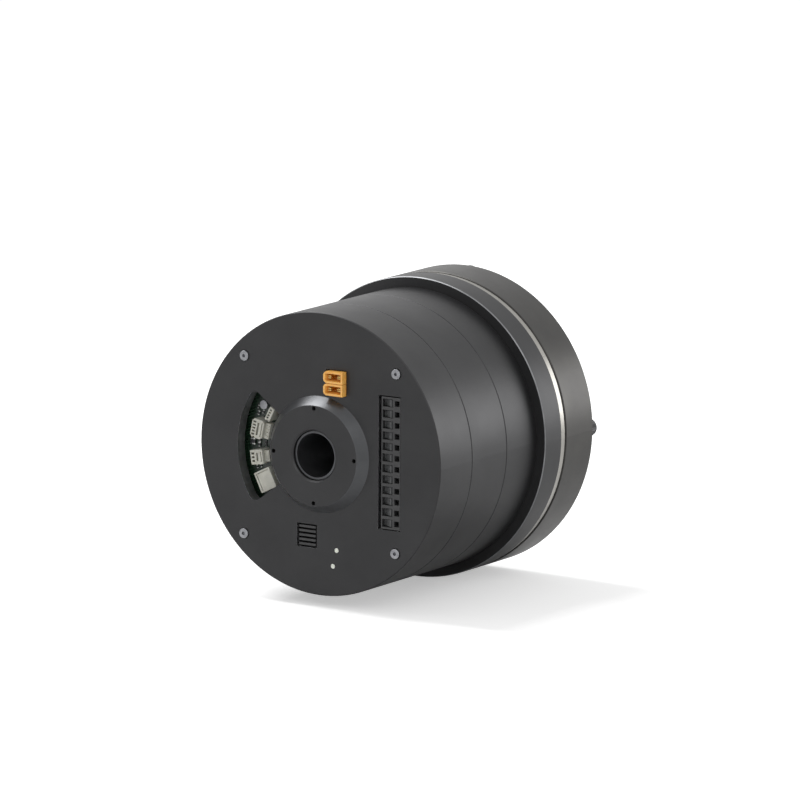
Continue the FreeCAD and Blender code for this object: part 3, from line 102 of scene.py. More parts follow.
world = bpy.data.worlds.new("white_surround")
bpy.context.scene.world = world
world.use_nodes = True
tree = world.node_tree
tree.nodes.clear()
path = add(tree, "ShaderNodeLightPath")
shown = add(tree, "ShaderNodeMath", {0: path.outputs["Is Camera Ray"],
                                     1: path.outputs["Is Glossy Ray"]},
            operation="MAXIMUM")
shown = add(tree, "ShaderNodeMath", {0: shown.outputs[0],
                                     1: path.outputs["Is Transmission Ray"]},
            operation="MAXIMUM")
dim = add(tree, "ShaderNodeBackground", {"Color": linear("#FFFFFF"), "Strength": 0.50})
white = add(tree, "ShaderNodeBackground", {"Color": linear("#FFFFFF"), "Strength": 1.0})
mixed = add(tree, "ShaderNodeMixShader", {0: shown.outputs[0], 1: dim.outputs[0],
                                          2: white.outputs[0]})
add(tree, "ShaderNodeOutputWorld", {"Surface": mixed.outputs[0]})

# The floor lies half a millimetre under the ring, all in metres.
floor_level = cad_box[0].z - 0.0005
floor_mesh = bmesh.new()
bmesh.ops.create_grid(floor_mesh, x_segments=1, y_segments=1, size=30)
bmesh.ops.translate(floor_mesh, verts=floor_mesh.verts, vec=(0, 0, floor_level))
floor_data = bpy.data.meshes.new("floor")
floor_mesh.to_mesh(floor_data)
floor_mesh.free()
floor = bpy.data.objects.new("floor", floor_data)
bpy.context.scene.collection.objects.link(floor)
paper = bpy.data.materials.new("white_paper")
paper.use_nodes = True
tree = paper.node_tree
tree.nodes.clear()
lit = add(tree, "ShaderNodeBsdfDiffuse", {"Color": linear("#F4F4F4")})
path = add(tree, "ShaderNodeLightPath")
glow = add(tree, "ShaderNodeEmission", {"Color": linear("#FFFFFF"), "Strength": 0.42})
both = add(tree, "ShaderNodeAddShader", {0: lit.outputs[0], 1: glow.outputs[0]})
paper_mix = add(tree, "ShaderNodeMixShader", {0: path.outputs["Is Camera Ray"],
                                              1: lit.outputs[0], 2: both.outputs[0]})
add(tree, "ShaderNodeOutputMaterial", {"Surface": paper_mix.outputs[0]})
floor_data.materials.append(paper)

# Each lamp's place, width and height are in metres and its power in watts. All
# three look at the middle of the barrel.
aim = Vector((0, -0.06, 0))
for name, place, width, height, power in (
        ("top_box", (-0.87, -0.06, 1.37), 0.42, 0.95, 21.0),
        ("far_box", (1.25, 1.55, 0.28), 1.5, 0.75, 13.0),
        ("rear_box", (1.5, -2.1, 1.5), 1.2, 1.2, 11.0)):
    light = bpy.data.lights.new(name, "AREA")
    light.shape = "RECTANGLE"
    light.size = width
    light.size_y = height
    light.energy = power
    lamp = bpy.data.objects.new(name, light)
    lamp.location = place
    lamp.rotation_euler = (aim - Vector(place)).to_track_quat("-Z", "Y").to_euler()
    bpy.context.scene.collection.objects.link(lamp)


# ---------------------------------------------------------------------------
# Housings: front housing, middle housing and rear cover, turned and milled
# from aluminium, bead blasted and anodised a satin dark grey. Each is bolted
# to the next one forward, and their edges are broken by a few tenths.
MM = 0.001


def new_finish(name, **plain):
    """A material, its node tree, its Principled shader and its coordinates."""
    made = bpy.data.materials.new(name)
    made.use_nodes = True
    tree = made.node_tree
    tree.nodes.clear()
    shader = add(tree, "ShaderNodeBsdfPrincipled",
                 {key.replace("_", " "): value for key, value in plain.items()})
    add(tree, "ShaderNodeOutputMaterial", {"Surface": shader.outputs[0]})
    place = add(tree, "ShaderNodeTexCoord").outputs["Object"]
    return made, tree, shader, place


def drift(tree, place, size, low, high):
    """A value or colour that drifts from low to high over patches of a size in mm."""
    patches = add(tree, "ShaderNodeTexNoise", {"Vector": place, "Scale": 1000 / size,
                                               "Detail": 3.0, "Roughness": 0.55})
    ramp = add(tree, "ShaderNodeValToRGB", {"Fac": patches.outputs["Fac"]})
    for stop, at, level in ((0, 0.32, low), (1, 0.68, high)):
        ramp.color_ramp.elements[stop].position = at
        ramp.color_ramp.elements[stop].color = (
            linear(level) if isinstance(level, str) else (level, level, level, 1))
    return ramp.outputs["Color"]


def surface(tree, shader, colour, roughness, height, depth, edge=0.0):
    """Colour, roughness, a relief some mm deep, and sharp edges rounded by edge in mm."""
    tree.links.new(colour, shader.inputs["Base Color"])
    tree.links.new(roughness, shader.inputs["Roughness"])
    bump = add(tree, "ShaderNodeBump", {"Height": height, "Distance": depth * MM,
                                        "Strength": 1.0})
    if edge:
        rounded = add(tree, "ShaderNodeBevel", {"Radius": edge * MM}, samples=6)
        tree.links.new(rounded.outputs["Normal"], bump.inputs["Normal"])
    tree.links.new(bump.outputs["Normal"], shader.inputs["Normal"])


def dress(finish, *names):
    """Give CAD nodes one finish."""
    for name in names:
        nodes[name].data.materials.clear()
        nodes[name].data.materials.append(finish)


def from_axis(tree, place):
    """The distance of a place from the main axis, which is Y."""
    across = add(tree, "ShaderNodeVectorMath", {0: place, 1: (1, 0, 1)},
                 operation="MULTIPLY")
    return add(tree, "ShaderNodeVectorMath", {0: across.outputs[0]},
               operation="LENGTH").outputs["Value"]


# Anodised aluminium: a dyed oxide skin over metal, so it is dark and satin but
# still mirrors lamps softly. The blasted grain is 0.1 mm and drawn at 0.3 mm.
anodised, tree, shader, place = new_finish("anodised_aluminium", Metallic=0.72)
grain = add(tree, "ShaderNodeTexNoise", {"Vector": place, "Scale": 1000 / 0.3,
                                         "Detail": 2.0})
# On the flange's broken edges a lighter grey is painted in as a highlight. Nothing
# else reaches 68 mm from the axis.
flange_from = 68 * MM
facing = add(tree, "ShaderNodeSeparateXYZ", {
    "Vector": add(tree, "ShaderNodeTexCoord").outputs["Normal"]})
along_axis = add(tree, "ShaderNodeMath", {0: facing.outputs["Y"]}, operation="ABSOLUTE")
edge_highlight = add(tree, "ShaderNodeMath", {0: along_axis.outputs[0], 1: 0.7, 2: 0.2},
             operation="COMPARE")
outside = add(tree, "ShaderNodeMath", {0: from_axis(tree, place), 1: flange_from},
              operation="GREATER_THAN")
edge_highlight = add(tree, "ShaderNodeMath", {0: edge_highlight.outputs[0], 1: outside.outputs[0]},
             operation="MULTIPLY")
# Painted highlight: the flange's broken edges take a lighter grey than the skin.
skin = add(tree, "ShaderNodeMix", {0: edge_highlight.outputs[0],
                                   6: drift(tree, place, 26, "#363637", "#3B3B3C"),
                                   7: drift(tree, place, 8, "#707173", "#88898B")},
           data_type="RGBA")
surface(tree, shader, skin.outputs[2], drift(tree, place, 14, 0.42, 0.45),
        grain.outputs["Fac"], 0.006)
dress(anodised, "front_housing", "middle_housing")

# The rear cover's opening walls are painted a light bare-metal grey, a painted
# highlight that stands in for the light they catch. They run through the end wall,
# and the cover's own bore and barrel lie further out.
wall_outside, wall_inside, wall_reach = -123.28 * MM, -117.4 * MM, 60 * MM
cover_with_painted_wall_light, tree, shader, place = new_finish("anodised_aluminium_with_painted_wall_light")
apart = add(tree, "ShaderNodeSeparateXYZ", {"Vector": place})
below = add(tree, "ShaderNodeMath", {0: apart.outputs["Y"], 1: wall_outside},
            operation="GREATER_THAN")
above = add(tree, "ShaderNodeMath", {0: apart.outputs["Y"], 1: wall_inside},
            operation="LESS_THAN")
reach = from_axis(tree, place)
within = add(tree, "ShaderNodeMath", {0: reach, 1: wall_reach},
             operation="LESS_THAN")
wall = add(tree, "ShaderNodeMath", {0: below.outputs[0], 1: above.outputs[0]},
           operation="MULTIPLY")
wall = add(tree, "ShaderNodeMath", {0: wall.outputs[0], 1: within.outputs[0]},
           operation="MULTIPLY")
# The boss's sloping side is turned last, so it is smoother, and a lighter grey is
# painted on it as a highlight. It starts behind the end wall's face and outside the
# boss's flat top.
slope_foot, boss_top_radius = -123.4 * MM, 23.42 * MM
proud = add(tree, "ShaderNodeMath", {0: apart.outputs["Y"], 1: slope_foot},
            operation="LESS_THAN")
beside = add(tree, "ShaderNodeMath", {0: reach, 1: boss_top_radius},
             operation="GREATER_THAN")
turned_slope_and_highlight = add(tree, "ShaderNodeMath", {0: proud.outputs[0], 1: beside.outputs[0]},
            operation="MULTIPLY")
# Painted highlight: the boss's sloping side takes a lighter grey than the face.
colour = add(tree, "ShaderNodeMix", {0: turned_slope_and_highlight.outputs[0],
                                     6: drift(tree, place, 26, "#363637", "#3B3B3C"),
                                     7: drift(tree, place, 12, "#4B4C4E", "#515254")},
             data_type="RGBA")
# Painted highlight: the opening walls take a light bare-metal grey.
colour = add(tree, "ShaderNodeMix", {0: wall.outputs[0], 6: colour.outputs[2],
                                     7: drift(tree, place, 3, "#8E8F91", "#A6A7A9")},
             data_type="RGBA")
gloss = add(tree, "ShaderNodeMix", {0: turned_slope_and_highlight.outputs[0],
                                    6: drift(tree, place, 14, 0.42, 0.45),
                                    7: drift(tree, place, 12, 0.30, 0.33)},
            data_type="RGBA")
metal = add(tree, "ShaderNodeMapRange", {"Value": wall.outputs[0], "To Min": 0.72,
                                         "To Max": 1.0})
tree.links.new(metal.outputs["Result"], shader.inputs["Metallic"])
grain = add(tree, "ShaderNodeTexNoise", {"Vector": place, "Scale": 1000 / 0.3,
                                         "Detail": 2.0})
surface(tree, shader, colour.outputs[2], gloss.outputs[2], grain.outputs["Fac"],
        0.006, 0.3)
dress(cover_with_painted_wall_light, "rear_cover")

# ---------------------------------------------------------------------------
# Bearing ring: the outer ring of the crossed-roller bearing, which is also the
# mounting flange. It is hardened steel, fine turned and blackened, a little
# warmer and lighter than the housings.
def lines(spacing):
    """The scale at which a wave texture's lines are some mm apart."""
    return math.tau / (20 * spacing * MM)


# Blackened steel: turning marks 0.1 mm apart, drawn 0.7 mm apart round the axis.
blackened, tree, shader, place = new_finish("blackened_steel", Metallic=0.80)
marks = add(tree, "ShaderNodeTexWave", {"Vector": place, "Scale": lines(0.7),
                                        "Distortion": 0.4, "Detail": 1.0},
            wave_type="BANDS", bands_direction="Y")
surface(tree, shader, drift(tree, place, 18, "#3F3E3D", "#454442"),
        drift(tree, place, 12, 0.38, 0.42), marks.outputs["Fac"], 0.002, 0.15)
dress(blackened, "bearing_ring")


# The mount's tapped holes: eight M4 threads of 0.7 mm pitch, cut in the ring.
def thread_sleeves(name, circle, hole, pitch, mouth, length, first, body, finish):
    """The flanks of a thread in each of eight holes; sizes in mm, first in degrees."""
    thread_depth = pitch * 0.45
    shape = bmesh.new()
    previous = None
    for turn in range(int(length / pitch * 2)):
        radius = hole if turn % 2 == 0 else hole - thread_depth
        spot = shape.verts.new(((circle + radius) * MM,
                                (mouth - turn * pitch / 2) * MM, 0))
        if previous:
            shape.edges.new((previous, spot))
        previous = spot
    bmesh.ops.spin(shape, geom=shape.verts[:] + shape.edges[:], cent=(circle * MM, 0, 0),
                   axis=(0, 1, 0), angle=math.tau, steps=20, use_merge=True)
    round_axis(shape, 8, first)
    return piece(name, shape, body, finish, 20)


def round_axis(shape, count, first=0.0):
    """Repeat a mesh evenly round the main axis, the first at an angle in degrees."""
    one = shape.verts[:] + shape.edges[:] + shape.faces[:]
    bmesh.ops.rotate(shape, verts=shape.verts, cent=(0, 0, 0),
                     matrix=Matrix.Rotation(-math.radians(first), 3, "Y"))
    for step in range(1, count):
        copy = bmesh.ops.duplicate(shape, geom=one)["geom"]
        copied = [v for v in copy if isinstance(v, bmesh.types.BMVert)]
        bmesh.ops.rotate(shape, verts=copied, cent=(0, 0, 0),
                         matrix=Matrix.Rotation(-math.tau * step / count, 3, "Y"))


def piece(name, shape, body, finish, sharp=30):
    """Make a mesh an object with a finish that rides on a body."""
    bmesh.ops.remove_doubles(shape, verts=shape.verts, dist=0.000001)
    bmesh.ops.recalc_face_normals(shape, faces=shape.faces)
    data = bpy.data.meshes.new(name)
    shape.to_mesh(data)
    shape.free()
    data.materials.append(finish)
    data.polygons.foreach_set("use_smooth", [True] * len(data.polygons))
    data.set_sharp_from_angle(angle=math.radians(sharp))
    made = bpy.data.objects.new(name, data)
    bpy.context.scene.collection.objects.link(made)
    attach(made, body)
    return made


thread_sleeves("mount_threads", 65.0, 2.0, 0.7, -0.5, 10.5, 22.5, "case", blackened)

# ---------------------------------------------------------------------------
# Output flange and its bolts' threads: the turning inner half of the bearing,
# of hardened steel with a ground face. Eight M6 holes of 1 mm pitch and two
# dowel holes take the next link.
# Ground steel: fine rings round the axis, drawn 0.8 mm apart, with a dull sheen.
ground_steel, tree, shader, place = new_finish("ground_steel", Metallic=1.0)
rings = add(tree, "ShaderNodeTexWave", {"Vector": place, "Scale": lines(0.8),
                                        "Distortion": 1.2, "Detail": 2.0},
            wave_type="RINGS", rings_direction="Y")
surface(tree, shader, drift(tree, place, 30, "#9F9E9B", "#A6A5A2"),
        drift(tree, place, 16, 0.27, 0.30), rings.outputs["Fac"], 0.003, 0.2)
dress(ground_steel, "output_flange", "circular_spline", "motor_shaft", "rotor_hub",
      "bearing_inner_rings", "bearing_outer_rings", "shaft_nut", "brake_hub", "wave_cam")
thread_sleeves("output_threads", 38.0, 3.0, 1.0, 0.5, 6.5, 0, "output", ground_steel)

# ---------------------------------------------------------------------------
# Output seal: a moulded nitrile lip seal pressed into the ring. Its main lip
# and a dust lip run on the flange, with a groove for the garter spring behind.
# Nitrile rubber: nearly black and matt, with a fine moulded texture.
nitrile, tree, shader, place = new_finish("nitrile_rubber", Metallic=0.0, IOR=1.5)
skin = add(tree, "ShaderNodeTexNoise", {"Vector": place, "Scale": 1000 / 0.5})
surface(tree, shader, drift(tree, place, 8, "#161616", "#1E1E1E"),
        drift(tree, place, 4, 0.55, 0.7), skin.outputs["Fac"], 0.01)
lip = bmesh.new()
# The lip's cross section: radius and place along the axis, in mm.
corners = [(61.05, -0.45), (59.6, -0.45), (59.3, -1.1), (58.2, -0.7), (57.5, -0.5),
           (57.36, -0.9), (57.9, -1.5), (57.36, -2.4), (58.1, -3.0), (58.3, -3.9),
           (61.05, -3.9)]
spots = [lip.verts.new((r * MM, y * MM, 0)) for r, y in corners]
for here, after in zip(spots, spots[1:] + spots[:1]):
    lip.edges.new((here, after))
bmesh.ops.spin(lip, geom=lip.verts[:] + lip.edges[:], cent=(0, 0, 0), axis=(0, 1, 0),
               angle=math.tau, steps=144, use_merge=True)
seal = piece("output_lip_seal", lip, "case", nitrile, 50)
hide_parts("output_seal")
dress(nitrile, "output_seal", "case_seal", "shaft_seal")

# ---------------------------------------------------------------------------
# Case screws and cover screws: cold-headed socket screws. The four M5 case
# screws are black oxide with a fluted head and stand on the ring's front face.
# The four M2.5 cover screws are zinc plated and sit in the rear face.
# Black oxide steel: a thin black layer that lets the steel's sheen through.
black_oxide, tree, shader, place = new_finish("black_oxide_steel", Metallic=0.75)
oxide = add(tree, "ShaderNodeTexNoise", {"Vector": place, "Scale": 1000 / 0.6})
surface(tree, shader, drift(tree, place, 3, "#262628", "#343436"),
        drift(tree, place, 2, 0.30, 0.42), oxide.outputs["Fac"], 0.006, 0.1)
# Zinc plate: bright grey with a slightly mottled, soft gloss.
zinc, tree, shader, place = new_finish("zinc_plated_steel", Metallic=0.85)
spangle = add(tree, "ShaderNodeTexNoise", {"Vector": place, "Scale": 1000 / 0.5})
surface(tree, shader, drift(tree, place, 2, "#85868A", "#9C9DA0"),
        drift(tree, place, 1.5, 0.32, 0.45), spangle.outputs["Fac"], 0.005, 0.1)


def in_order(parts):
    """Each part once, in the order met, so that every run makes the same mesh."""
    return list(dict.fromkeys(parts))


def rim_out(shape, rim, centre, grow, move):
    """Extrude an open rim along the main axis and scale it about its own centre."""
    made = bmesh.ops.extrude_edge_only(shape, edges=rim)["geom"]
    fresh = [v for v in made if isinstance(v, bmesh.types.BMVert)]
    bmesh.ops.translate(shape, verts=fresh, vec=(0, move, 0))
    bmesh.ops.scale(shape, verts=fresh, vec=(grow, 1, grow),
                    space=Matrix.Translation(-centre))
    kept = set(fresh)
    return [e for e in made
            if isinstance(e, bmesh.types.BMEdge) and all(v in kept for v in e.verts)]


def socket_screw(shape, circle, face, way, head, height, key, depth, shank, length,
                 flutes):
    """A socket screw on a circle round the main axis; way is +1 if its head faces +Y."""
    centre = Vector((circle * MM, face * MM, 0))
    lay = Matrix.Translation(centre) @ Matrix.Rotation(math.pi / 2, 4, "X")
    edge_break, tip, flute = head * 0.06, 0.4, 0.955
    outer = bmesh.ops.create_circle(shape, segments=60, radius=(head - edge_break) * MM,
                                    matrix=lay)["verts"]
    inner = bmesh.ops.create_circle(shape, segments=6, radius=key * MM,
                                    matrix=lay)["verts"]
    rim = in_order(e for v in outer for e in v.link_edges)
    well = in_order(e for v in inner for e in v.link_edges)
    bmesh.ops.triangle_fill(shape, edges=rim + well, use_beauty=True)
    sunk = rim_out(shape, well, centre, 1.0, -way * depth * MM)
    bmesh.ops.contextual_create(shape, geom=sunk)
    rim = rim_out(shape, rim, centre, head / (head - edge_break),
                  -way * edge_break * MM)
    if flutes:
        side = in_order(v for e in rim for v in e.verts)
        side.sort(key=lambda v: math.atan2(v.co.z - centre.z, v.co.x - centre.x))
        bmesh.ops.scale(shape, verts=side[::2], vec=(flute, 1, flute),
                        space=Matrix.Translation(-centre))
    rim = rim_out(shape, rim, centre, 1.0, -way * (height - edge_break) * MM)
    rim = rim_out(shape, rim, centre, shank / head, 0)
    rim = rim_out(shape, rim, centre, 1.0, -way * (length - tip) * MM)
    rim = rim_out(shape, rim, centre, 0.8, -way * tip * MM)
    bmesh.ops.contextual_create(shape, geom=rim)


screws = bmesh.new()
socket_screw(screws, 66.0, 5.0, 1, 4.25, 5.0, 2.3, 2.7, 2.5, 36.0, True)
round_axis(screws, 4)
case_heads = piece("case_socket_screws", screws, "case", black_oxide)
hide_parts("case_screws")
cover_head_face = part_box("cover_screws")[0].y / MM
screws = bmesh.new()
socket_screw(screws, 58.95, cover_head_face, -1, 2.35, 2.0, 0.9, 1.2, 1.25, 28.0, False)
round_axis(screws, 4, 45)
cover_heads = piece("cover_socket_screws", screws, "case", zinc)
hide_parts("cover_screws")
dress(zinc, "cover_screws", "housing_screws", "tube_screws", "brake_screws",
      "board_screws")
dress(black_oxide, "case_screws", "spline_screws", "cam_screws")

# ---------------------------------------------------------------------------
# Centre tube: a drawn aluminium tube screwed to the output flange, which runs
# through the whole actuator and keeps the cables off the turning shaft. The
# plastic bush in the rear cover steadies its end.
# Hard-anodised drawn aluminium: dark grey and satin, with marks along the tube's
# length drawn 0.6 mm apart.
drawn, tree, shader, place = new_finish("hard_anodised_tube", Metallic=0.72)
long_marks = add(tree, "ShaderNodeMapping", {"Vector": place, "Scale": (1, 0.04, 1)})
scores = add(tree, "ShaderNodeTexNoise", {"Vector": long_marks.outputs[0],
                                          "Scale": 1000 / 0.6, "Detail": 2.0})
surface(tree, shader, drift(tree, place, 10, "#4A4B4D", "#56575A"),
        drift(tree, place, 4, 0.28, 0.40), scores.outputs["Fac"], 0.004, 0.15)
dress(drawn, "centre_tube", "board_posts", "board_spacers")
# Filled acetal: warm grey-brown, dull, with faint flow marks.
acetal, tree, shader, place = new_finish("filled_acetal", Metallic=0.0, IOR=1.48)
flow = add(tree, "ShaderNodeTexNoise", {"Vector": place, "Scale": 1000 / 1.5})
surface(tree, shader, drift(tree, place, 5, "#4E4A41", "#5C574D"),
        drift(tree, place, 3, 0.42, 0.55), flow.outputs["Fac"], 0.01, 0.1)
dress(acetal, "tube_bush")

# ---------------------------------------------------------------------------
# Flexspline and flexible bearing: thin hardened spring steel that the cam
# bends once a turn. The flexspline's rim is clamped between ring and housing
# and shows outside as a bright narrow band.
# Spring steel: pale and slightly straw coloured, hard turned, so it is bright.
spring_steel, tree, shader, place = new_finish("hard_turned_spring_steel", Metallic=1.0)
cuts = add(tree, "ShaderNodeTexWave", {"Vector": place, "Scale": lines(0.5),
                                       "Distortion": 0.6, "Detail": 1.0},
           wave_type="BANDS", bands_direction="Y")
surface(tree, shader, drift(tree, place, 16, "#8F8D88", "#A09E99"),
        drift(tree, place, 5, 0.26, 0.36), cuts.outputs["Fac"], 0.003, 0.12)
dress(spring_steel, "flexspline", "flex_outer_race", "flex_inner_race", "brake_springs")

# ---------------------------------------------------------------------------
# Rolling elements: crossed rollers, shaft balls and the flexible bearing's
# balls, of lapped bearing steel with an oil film.
# Lapped steel: near mirror, with a thin film that blurs it in patches.
lapped, tree, shader, place = new_finish("lapped_bearing_steel", Metallic=1.0)
film = add(tree, "ShaderNodeTexNoise", {"Vector": place, "Scale": 1000 / 1.2})
surface(tree, shader, drift(tree, place, 3, "#B2B3B5", "#C6C7C9"),
        drift(tree, place, 2, 0.08, 0.16), film.outputs["Fac"], 0.002)
dress(lapped, "crossed_rollers", "bearing_balls", "flex_balls")

# ---------------------------------------------------------------------------
# Motor: a stack of punched silicon-steel sheets with enamelled copper coils
# round its teeth, and nickel-plated magnets glued to the rotor hub.
# Silicon steel sheets: a blue-grey coat, with a line at each sheet. The sheets
# are 0.35 mm thick and drawn 0.7 mm apart.
sheets, tree, shader, place = new_finish("silicon_steel_sheets", Metallic=0.8)
stack = add(tree, "ShaderNodeTexWave", {"Vector": place, "Scale": lines(0.7)},
            wave_type="BANDS", bands_direction="Y")
surface(tree, shader, drift(tree, place, 10, "#4C5055", "#5A5E62"),
        drift(tree, place, 4, 0.40, 0.55), stack.outputs["Fac"], 0.05, 0.1)
dress(sheets, "stator_core", "brake_body")
# Enamelled copper: amber-brown gloss over copper, with 0.8 mm wires side by side.
enamelled, tree, shader, place = new_finish("enamelled_copper", Metallic=0.85,
                                            Coat_Weight=0.6, Coat_Roughness=0.12)
wires = add(tree, "ShaderNodeTexWave", {"Vector": place, "Scale": lines(0.8),
                                        "Distortion": 1.0, "Detail": 1.0},
            wave_type="RINGS", rings_direction="Y")
surface(tree, shader, drift(tree, place, 4, "#9A4F22", "#C27237"),
        drift(tree, place, 2, 0.22, 0.32), wires.outputs["Fac"], 0.25)
dress(enamelled, "stator_coils", "brake_coil")
# Nickel plate: warm, bright and even, slightly orange-peeled.
nickel, tree, shader, place = new_finish("nickel_plated_magnet", Metallic=1.0)
peel = add(tree, "ShaderNodeTexNoise", {"Vector": place, "Scale": 1000 / 2})
surface(tree, shader, drift(tree, place, 6, "#A9A59B", "#BBB7AD"),
        drift(tree, place, 3, 0.16, 0.26), peel.outputs["Fac"], 0.01, 0.15)
dress(nickel, "rotor_magnets", "brake_armature", "brake_plate", "brake_spacers")
# Friction lining: pressed fibre and brass chips in resin, brown-grey and dull.
lining, tree, shader, place = new_finish("friction_lining", Metallic=0.0, IOR=1.5)
chips = add(tree, "ShaderNodeTexVoronoi", {"Vector": place, "Scale": 1000 / 0.9})
surface(tree, shader, drift(tree, place, 1.2, "#2F271F", "#57493A"),
        drift(tree, place, 2, 0.7, 0.9), chips.outputs["Distance"], 0.05)
dress(lining, "brake_disc")

# ---------------------------------------------------------------------------
# Encoder discs: glass-filled discs with a dark coat and a ring of fine lines,
# read by the sensor chips beside them.
# Coated glass: dark and glossy. The code lines are far finer, and are drawn as
# rings 1 mm apart.
coated, tree, shader, place = new_finish("coated_encoder_glass", Metallic=0.2,
                                         Coat_Weight=0.8, Coat_Roughness=0.04)
tracks = add(tree, "ShaderNodeTexWave", {"Vector": place, "Scale": lines(1.0)},
             wave_type="RINGS", rings_direction="Y")
surface(tree, shader, drift(tree, place, 3, "#2A2A30", "#3C3C44"),
        drift(tree, place, 4, 0.12, 0.2), tracks.outputs["Fac"], 0.002)
dress(coated, "input_encoder_disc", "output_encoder_disc")

# ---------------------------------------------------------------------------
# Circuit boards: glass-epoxy discs with a dark green solder mask, stacked on
# posts inside the rear cover. Copper tracks lift the mask a few hundredths.
# Solder mask: glossy dark green; tracks 0.3 mm wide show paler through it.
mask, tree, shader, place = new_finish("solder_mask", Metallic=0.0, IOR=1.5,
                                       Coat_Weight=0.3, Coat_Roughness=0.2)
flat = add(tree, "ShaderNodeMapping", {"Vector": place,
                                       "Rotation": (math.pi / 2, 0, math.radians(20))})
tracks = add(tree, "ShaderNodeTexBrick",
             {"Vector": flat.outputs[0], "Color1": linear("#0E1C13"),
              "Color2": linear("#112116"), "Mortar": linear("#1B3723"), "Scale": 1000,
              "Mortar Size": 0.14, "Mortar Smooth": 0.2, "Brick Width": 5.2,
              "Row Height": 1.3}, offset=0.35, squash=0.6, squash_frequency=3)
surface(tree, shader, tracks.outputs["Color"], drift(tree, place, 5, 0.25, 0.38),
        tracks.outputs["Fac"], 0.03)
dress(mask, "control_board", "power_board")
# Can capacitors: drawn aluminium cans, bare and softly bright.
bare_can, tree, shader, place = new_finish("capacitor_can", Metallic=0.9)
draws = add(tree, "ShaderNodeTexNoise", {"Vector": place, "Scale": 1000 / 1.0})
surface(tree, shader, drift(tree, place, 5, "#9FA2A6", "#B4B7BA"),
        drift(tree, place, 3, 0.25, 0.35), draws.outputs["Fac"], 0.004, 0.3)
dress(bare_can, "capacitors")

# ---------------------------------------------------------------------------
# Board components: chip resistors, capacitors and small packages soldered in
# the gaps between the headers. Bodies are ceramic or black epoxy with tin ends.
# Moulded epoxy: near-black and slightly sparkly, with a satin face.
epoxy, tree, shader, place = new_finish("moulded_epoxy", Metallic=0.0, IOR=1.55)
filler = add(tree, "ShaderNodeTexNoise", {"Vector": place, "Scale": 1000 / 0.25})
surface(tree, shader, drift(tree, place, 1.5, "#191A1B", "#26272A"),
        drift(tree, place, 1, 0.38, 0.55), filler.outputs["Fac"], 0.01, 0.08)
dress(epoxy, "encoder_readers")
# Tin: soft silver, slightly uneven where the solder wetted it.
tin, tree, shader, place = new_finish("tin_plate", Metallic=1.0)
wet = add(tree, "ShaderNodeTexNoise", {"Vector": place, "Scale": 1000 / 0.6})
surface(tree, shader, drift(tree, place, 1, "#B4B5B2", "#CBCCC8"),
        drift(tree, place, 1, 0.22, 0.34), wet.outputs["Fac"], 0.02)
board_top = -114.5  # the control board's rear face, in mm along the axis


def block(shape, size, centre, edge=0.0, angle=0.0):
    """A block with rounded edges, sized and placed in mm, turned about the main axis."""
    made = bmesh.ops.create_cube(shape, size=1)["verts"]
    bmesh.ops.scale(shape, verts=made, vec=Vector(size) * MM)
    bmesh.ops.translate(shape, verts=made, vec=Vector(centre) * MM)
    bmesh.ops.rotate(shape, verts=made, cent=(0, 0, 0),
                     matrix=Matrix.Rotation(-math.radians(angle), 3, "Y"))
    if edge:
        bmesh.ops.bevel(shape, geom=in_order(e for v in made for e in v.link_edges),
                        offset=edge * MM, segments=2, profile=0.5, affect="EDGES",
                        material=-1, clamp_overlap=True)


# Where each part sits round and out from the main axis, in degrees and mm, and
# its size in mm. The ceramic body is narrower than its two tin ends.
bodies = bmesh.new()
ends = bmesh.new()
for angle, radius, deep, wide, high in (
        (177.3, 35.2, 0.9, 1.7, 0.5), (179.4, 35.2, 0.9, 1.7, 0.5),
        (181.5, 35.2, 0.9, 1.7, 0.5), (178.0, 38.6, 1.3, 2.1, 0.8),
        (181.3, 38.8, 1.3, 2.1, 0.8), (179.5, 42.2, 2.6, 3.0, 1.0),
        (158.2, 39.6, 0.9, 1.7, 0.5), (160.3, 41.6, 1.3, 2.1, 0.8),
        (157.0, 43.0, 0.9, 1.7, 0.5), (150.2, 36.4, 0.9, 1.7, 0.5),
        (195.9, 39.4, 0.9, 1.7, 0.5), (195.9, 41.6, 0.9, 1.7, 0.5),
        (168.0, 42.6, 0.9, 1.7, 0.5), (190.0, 42.8, 0.9, 1.7, 0.5)):
    block(bodies, (deep, high, wide * 0.62), (radius, board_top - high / 2, 0), 0.06,
          angle)
    block(ends, (deep * 0.98, high * 0.98, wide), (radius, board_top - high * 0.49, 0),
          0.08, angle)
piece("chip_parts", bodies, "case", epoxy)
piece("chip_part_ends", ends, "case", tin)

# ---------------------------------------------------------------------------
# Signal headers: ivory nylon housings soldered to the control board, open
# towards the window. Each has a row of contact slots on its outer side, a
# keying groove beside them and a ribbed latch towards the boss.
# Ivory nylon: off-white and waxy; light sinks in a little, and moulding leaves
# a faint texture.
ivory, tree, shader, place = new_finish("ivory_nylon", Metallic=0.0, IOR=1.53,
                                        Subsurface_Weight=0.12,
                                        Subsurface_Radius=(0.8 * MM, 0.6 * MM, 0.4 * MM))
moulding = add(tree, "ShaderNodeTexNoise", {"Vector": place, "Scale": 1000 / 0.4})
surface(tree, shader, drift(tree, place, 3, "#ACABA1", "#BDBCB2"),
        drift(tree, place, 2, 0.38, 0.5), moulding.outputs["Fac"], 0.008)


